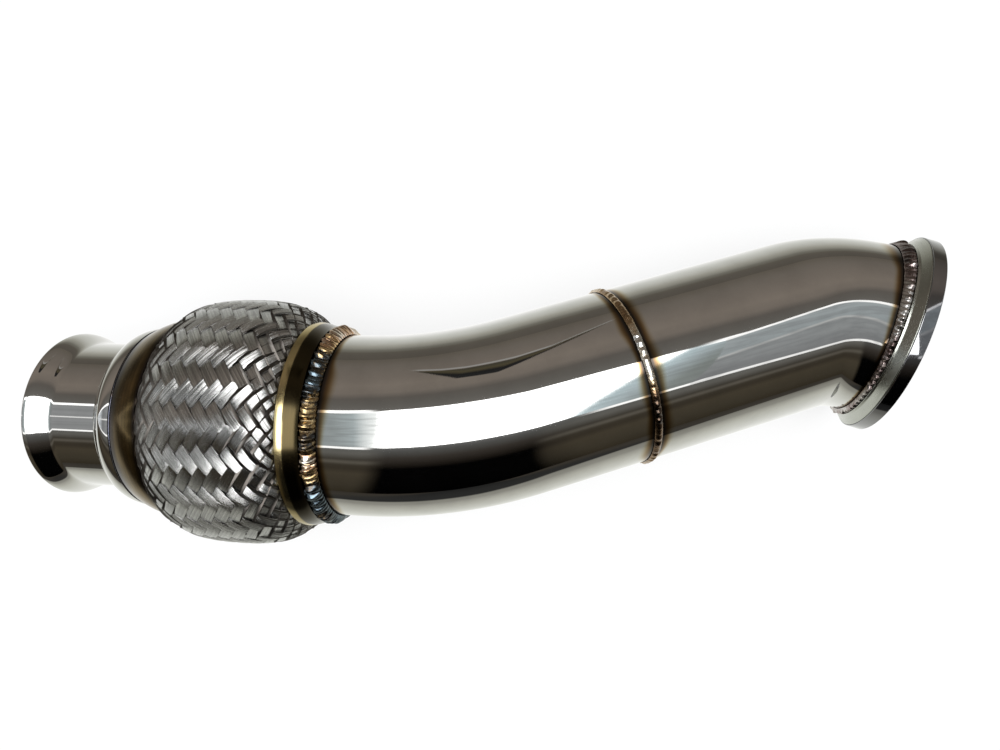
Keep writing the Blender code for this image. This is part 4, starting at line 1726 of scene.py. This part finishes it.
    def lamp(self) -> None:
        """Makes a soft overhead lamp for the floor's shadow and the duller metals."""
        data = bpy.data.lights.new("softbox", "AREA")
        data.shape, data.energy = "RECTANGLE", self.lamp_power
        data.size, data.size_y = self.lamp_size
        made = bpy.data.objects.new("softbox", data)
        made.location = self.lamp_place
        made.rotation_euler = Euler(
            (math.radians(self.lamp_tilt), 0.0, math.radians(self.room_turn))
        )
        made.visible_glossy = False
        bpy.context.scene.collection.objects.link(made)

    def build(self) -> None:
        """Builds the whole studio."""
        self.camera()
        self.floor()
        self.room()
        self.card()
        self.lamp()
        bpy.context.scene.view_settings.view_transform = "Standard"


# ----- The build


def weld_beads() -> list[tuple[WeldBead, BeadFinish]]:
    """Lists the three beads from the coupling to the flange.

    Returns:
        Each bead and its finish.
    """
    collar = WeldBead(
        name="collar_bead", node="collar_weld", kind=Bead.FILLET_BACK,
        station=0.1208, width=0.0052, height=0.0029,
        puddles=118, ripple=0.00034, restart=4.2, lump=0.35, seed=3,
        # Oxide tints by side, with painted highlight where the knots pick the palest tints and
        # painted shade where they pick the darkest.
        heat=(
            (-1.0, 0.02), (-0.62, 0.05), (-0.5, 0.25), (-0.38, 0.72), (-0.28, 0.85),
            (-0.2, 0.45), (0.0, 0.48), (0.25, 0.36), (0.38, 0.12), (0.62, 0.06),
            (0.72, 0.45), (0.8, 0.85), (1.0, 0.9),
        ),
    )
    middle = WeldBead(
        name="middle_bead", node="mid_weld", kind=Bead.DOME,
        station=ROUTE.joint(), width=0.0034, height=0.0010,
        puddles=170, ripple=0.000025, restart=2.0, lump=0.2, seed=5,
        # Oxide tints by side, with a painted highlight across the middle on the palest tint and
        # painted shade on the darker side.
        heat=(
            (-1.0, 0.45), (-0.75, 0.2), (-0.3, 0.15), (-0.15, 0.6),
            (0.0, 0.95), (0.35, 0.95), (0.5, 0.6), (1.0, 0.5),
        ),
    )
    flange = WeldBead(
        name="flange_bead", node="flange_weld", kind=Bead.FILLET_FRONT,
        station=ROUTE.flange() - 0.0003, width=0.0040, height=0.0018,
        puddles=150, ripple=0.00006, restart=1.0, lump=0.2, seed=9,
        # Oxide tints by side, with a painted highlight on the palest tint and painted shade on the
        # darkest.
        heat=(
            (-1.0, 0.7), (-0.7, 0.55), (-0.3, 0.25), (-0.1, 0.7),
            (0.1, 0.9), (0.35, 0.7), (0.55, 0.35), (1.0, 0.1),
        ),
    )
    # Tints from darkest to palest; besides the oxide, the darkest stand for painted shade and the
    # palest for painted highlight.
    steel_tints = (
        (0.05, 0.04, 0.035),
        (0.16, 0.10, 0.06),
        (0.40, 0.27, 0.15),
        (0.60, 0.50, 0.36),
        (0.70, 0.69, 0.66),
    )
    brown_tints = (
        (0.05, 0.04, 0.04),
        (0.12, 0.085, 0.08),
        (0.30, 0.24, 0.23),
        (0.50, 0.47, 0.45),
        (0.68, 0.66, 0.63),
    )
    copper = BeadFinish("bead_copper_blue", grey(0.6), 0.20, haze=0.08)
    straw = BeadFinish(
        "bead_steel_straw", grey(0.6), 0.18, haze=0.08, tints=steel_tints, scatter=0.18, crevice_shade=0.35
    )
    brown = BeadFinish("bead_brown_silver", grey(0.6), 0.22, haze=0.10, tints=brown_tints, crevice_shade=0.6)
    return [(collar, copper), (middle, straw), (flange, brown)]


def main() -> None:
    """Builds every piece from the inlet to the outlet, then the studio."""
    logging.basicConfig(level=logging.INFO, format="%(name)s %(message)s")
    heat_tint_group()
    polish_group()
    crevice_group()
    polished = Finish(
        "polished_steel", (0.64, 0.635, 0.62), 0.022, haze=0.022, wave=0.00004, tint_reach=0.0050
    ).material()
    seam = BeadFinish(
        "seam_blue", grey(0.3), 0.2, haze=0.08,
        tints=((0.05, 0.06, 0.09), (0.08, 0.08, 0.10), (0.16, 0.12, 0.08)),
    )
    bronze = GoldFinish(
        "heat_bronze_steel", (0.17, 0.12, 0.055), 0.17,
        deep=(0.05, 0.035, 0.017), edge=(0.02, 0.018, 0.022),
    )
    gold = GoldFinish(
        "heat_gold_steel", (0.55, 0.45, 0.23), 0.16,
        deep=(0.020, 0.014, 0.006), edge=(0.010, 0.0075, 0.004),
    )
    sheet = Finish("bellows_sheet", (0.50, 0.49, 0.47), 0.25, haze=0.10)
    wire = WireFinish("braid_wire", (0.61, 0.61, 0.60), 0.19, haze=0.04)
    satin = Finish("flange_satin", (0.44, 0.45, 0.41), 0.20, haze=0.10)
    rim = Finish("rim_polished", (0.30, 0.30, 0.31), 0.05, haze=0.03, wave=0.00004)
    InletStub().build(polished, seam.material())
    Collars().build(bronze.material(), gold.material())
    Bellows().build(sheet.material())
    Braid().build(wire.material())
    Tubes().build(polished)
    for bead, finish in weld_beads():
        bead.build(finish.material())
    ClampFlange().build(satin.material(), rim.material())
    Studio().build()


if __name__ == "__main__":
    main()
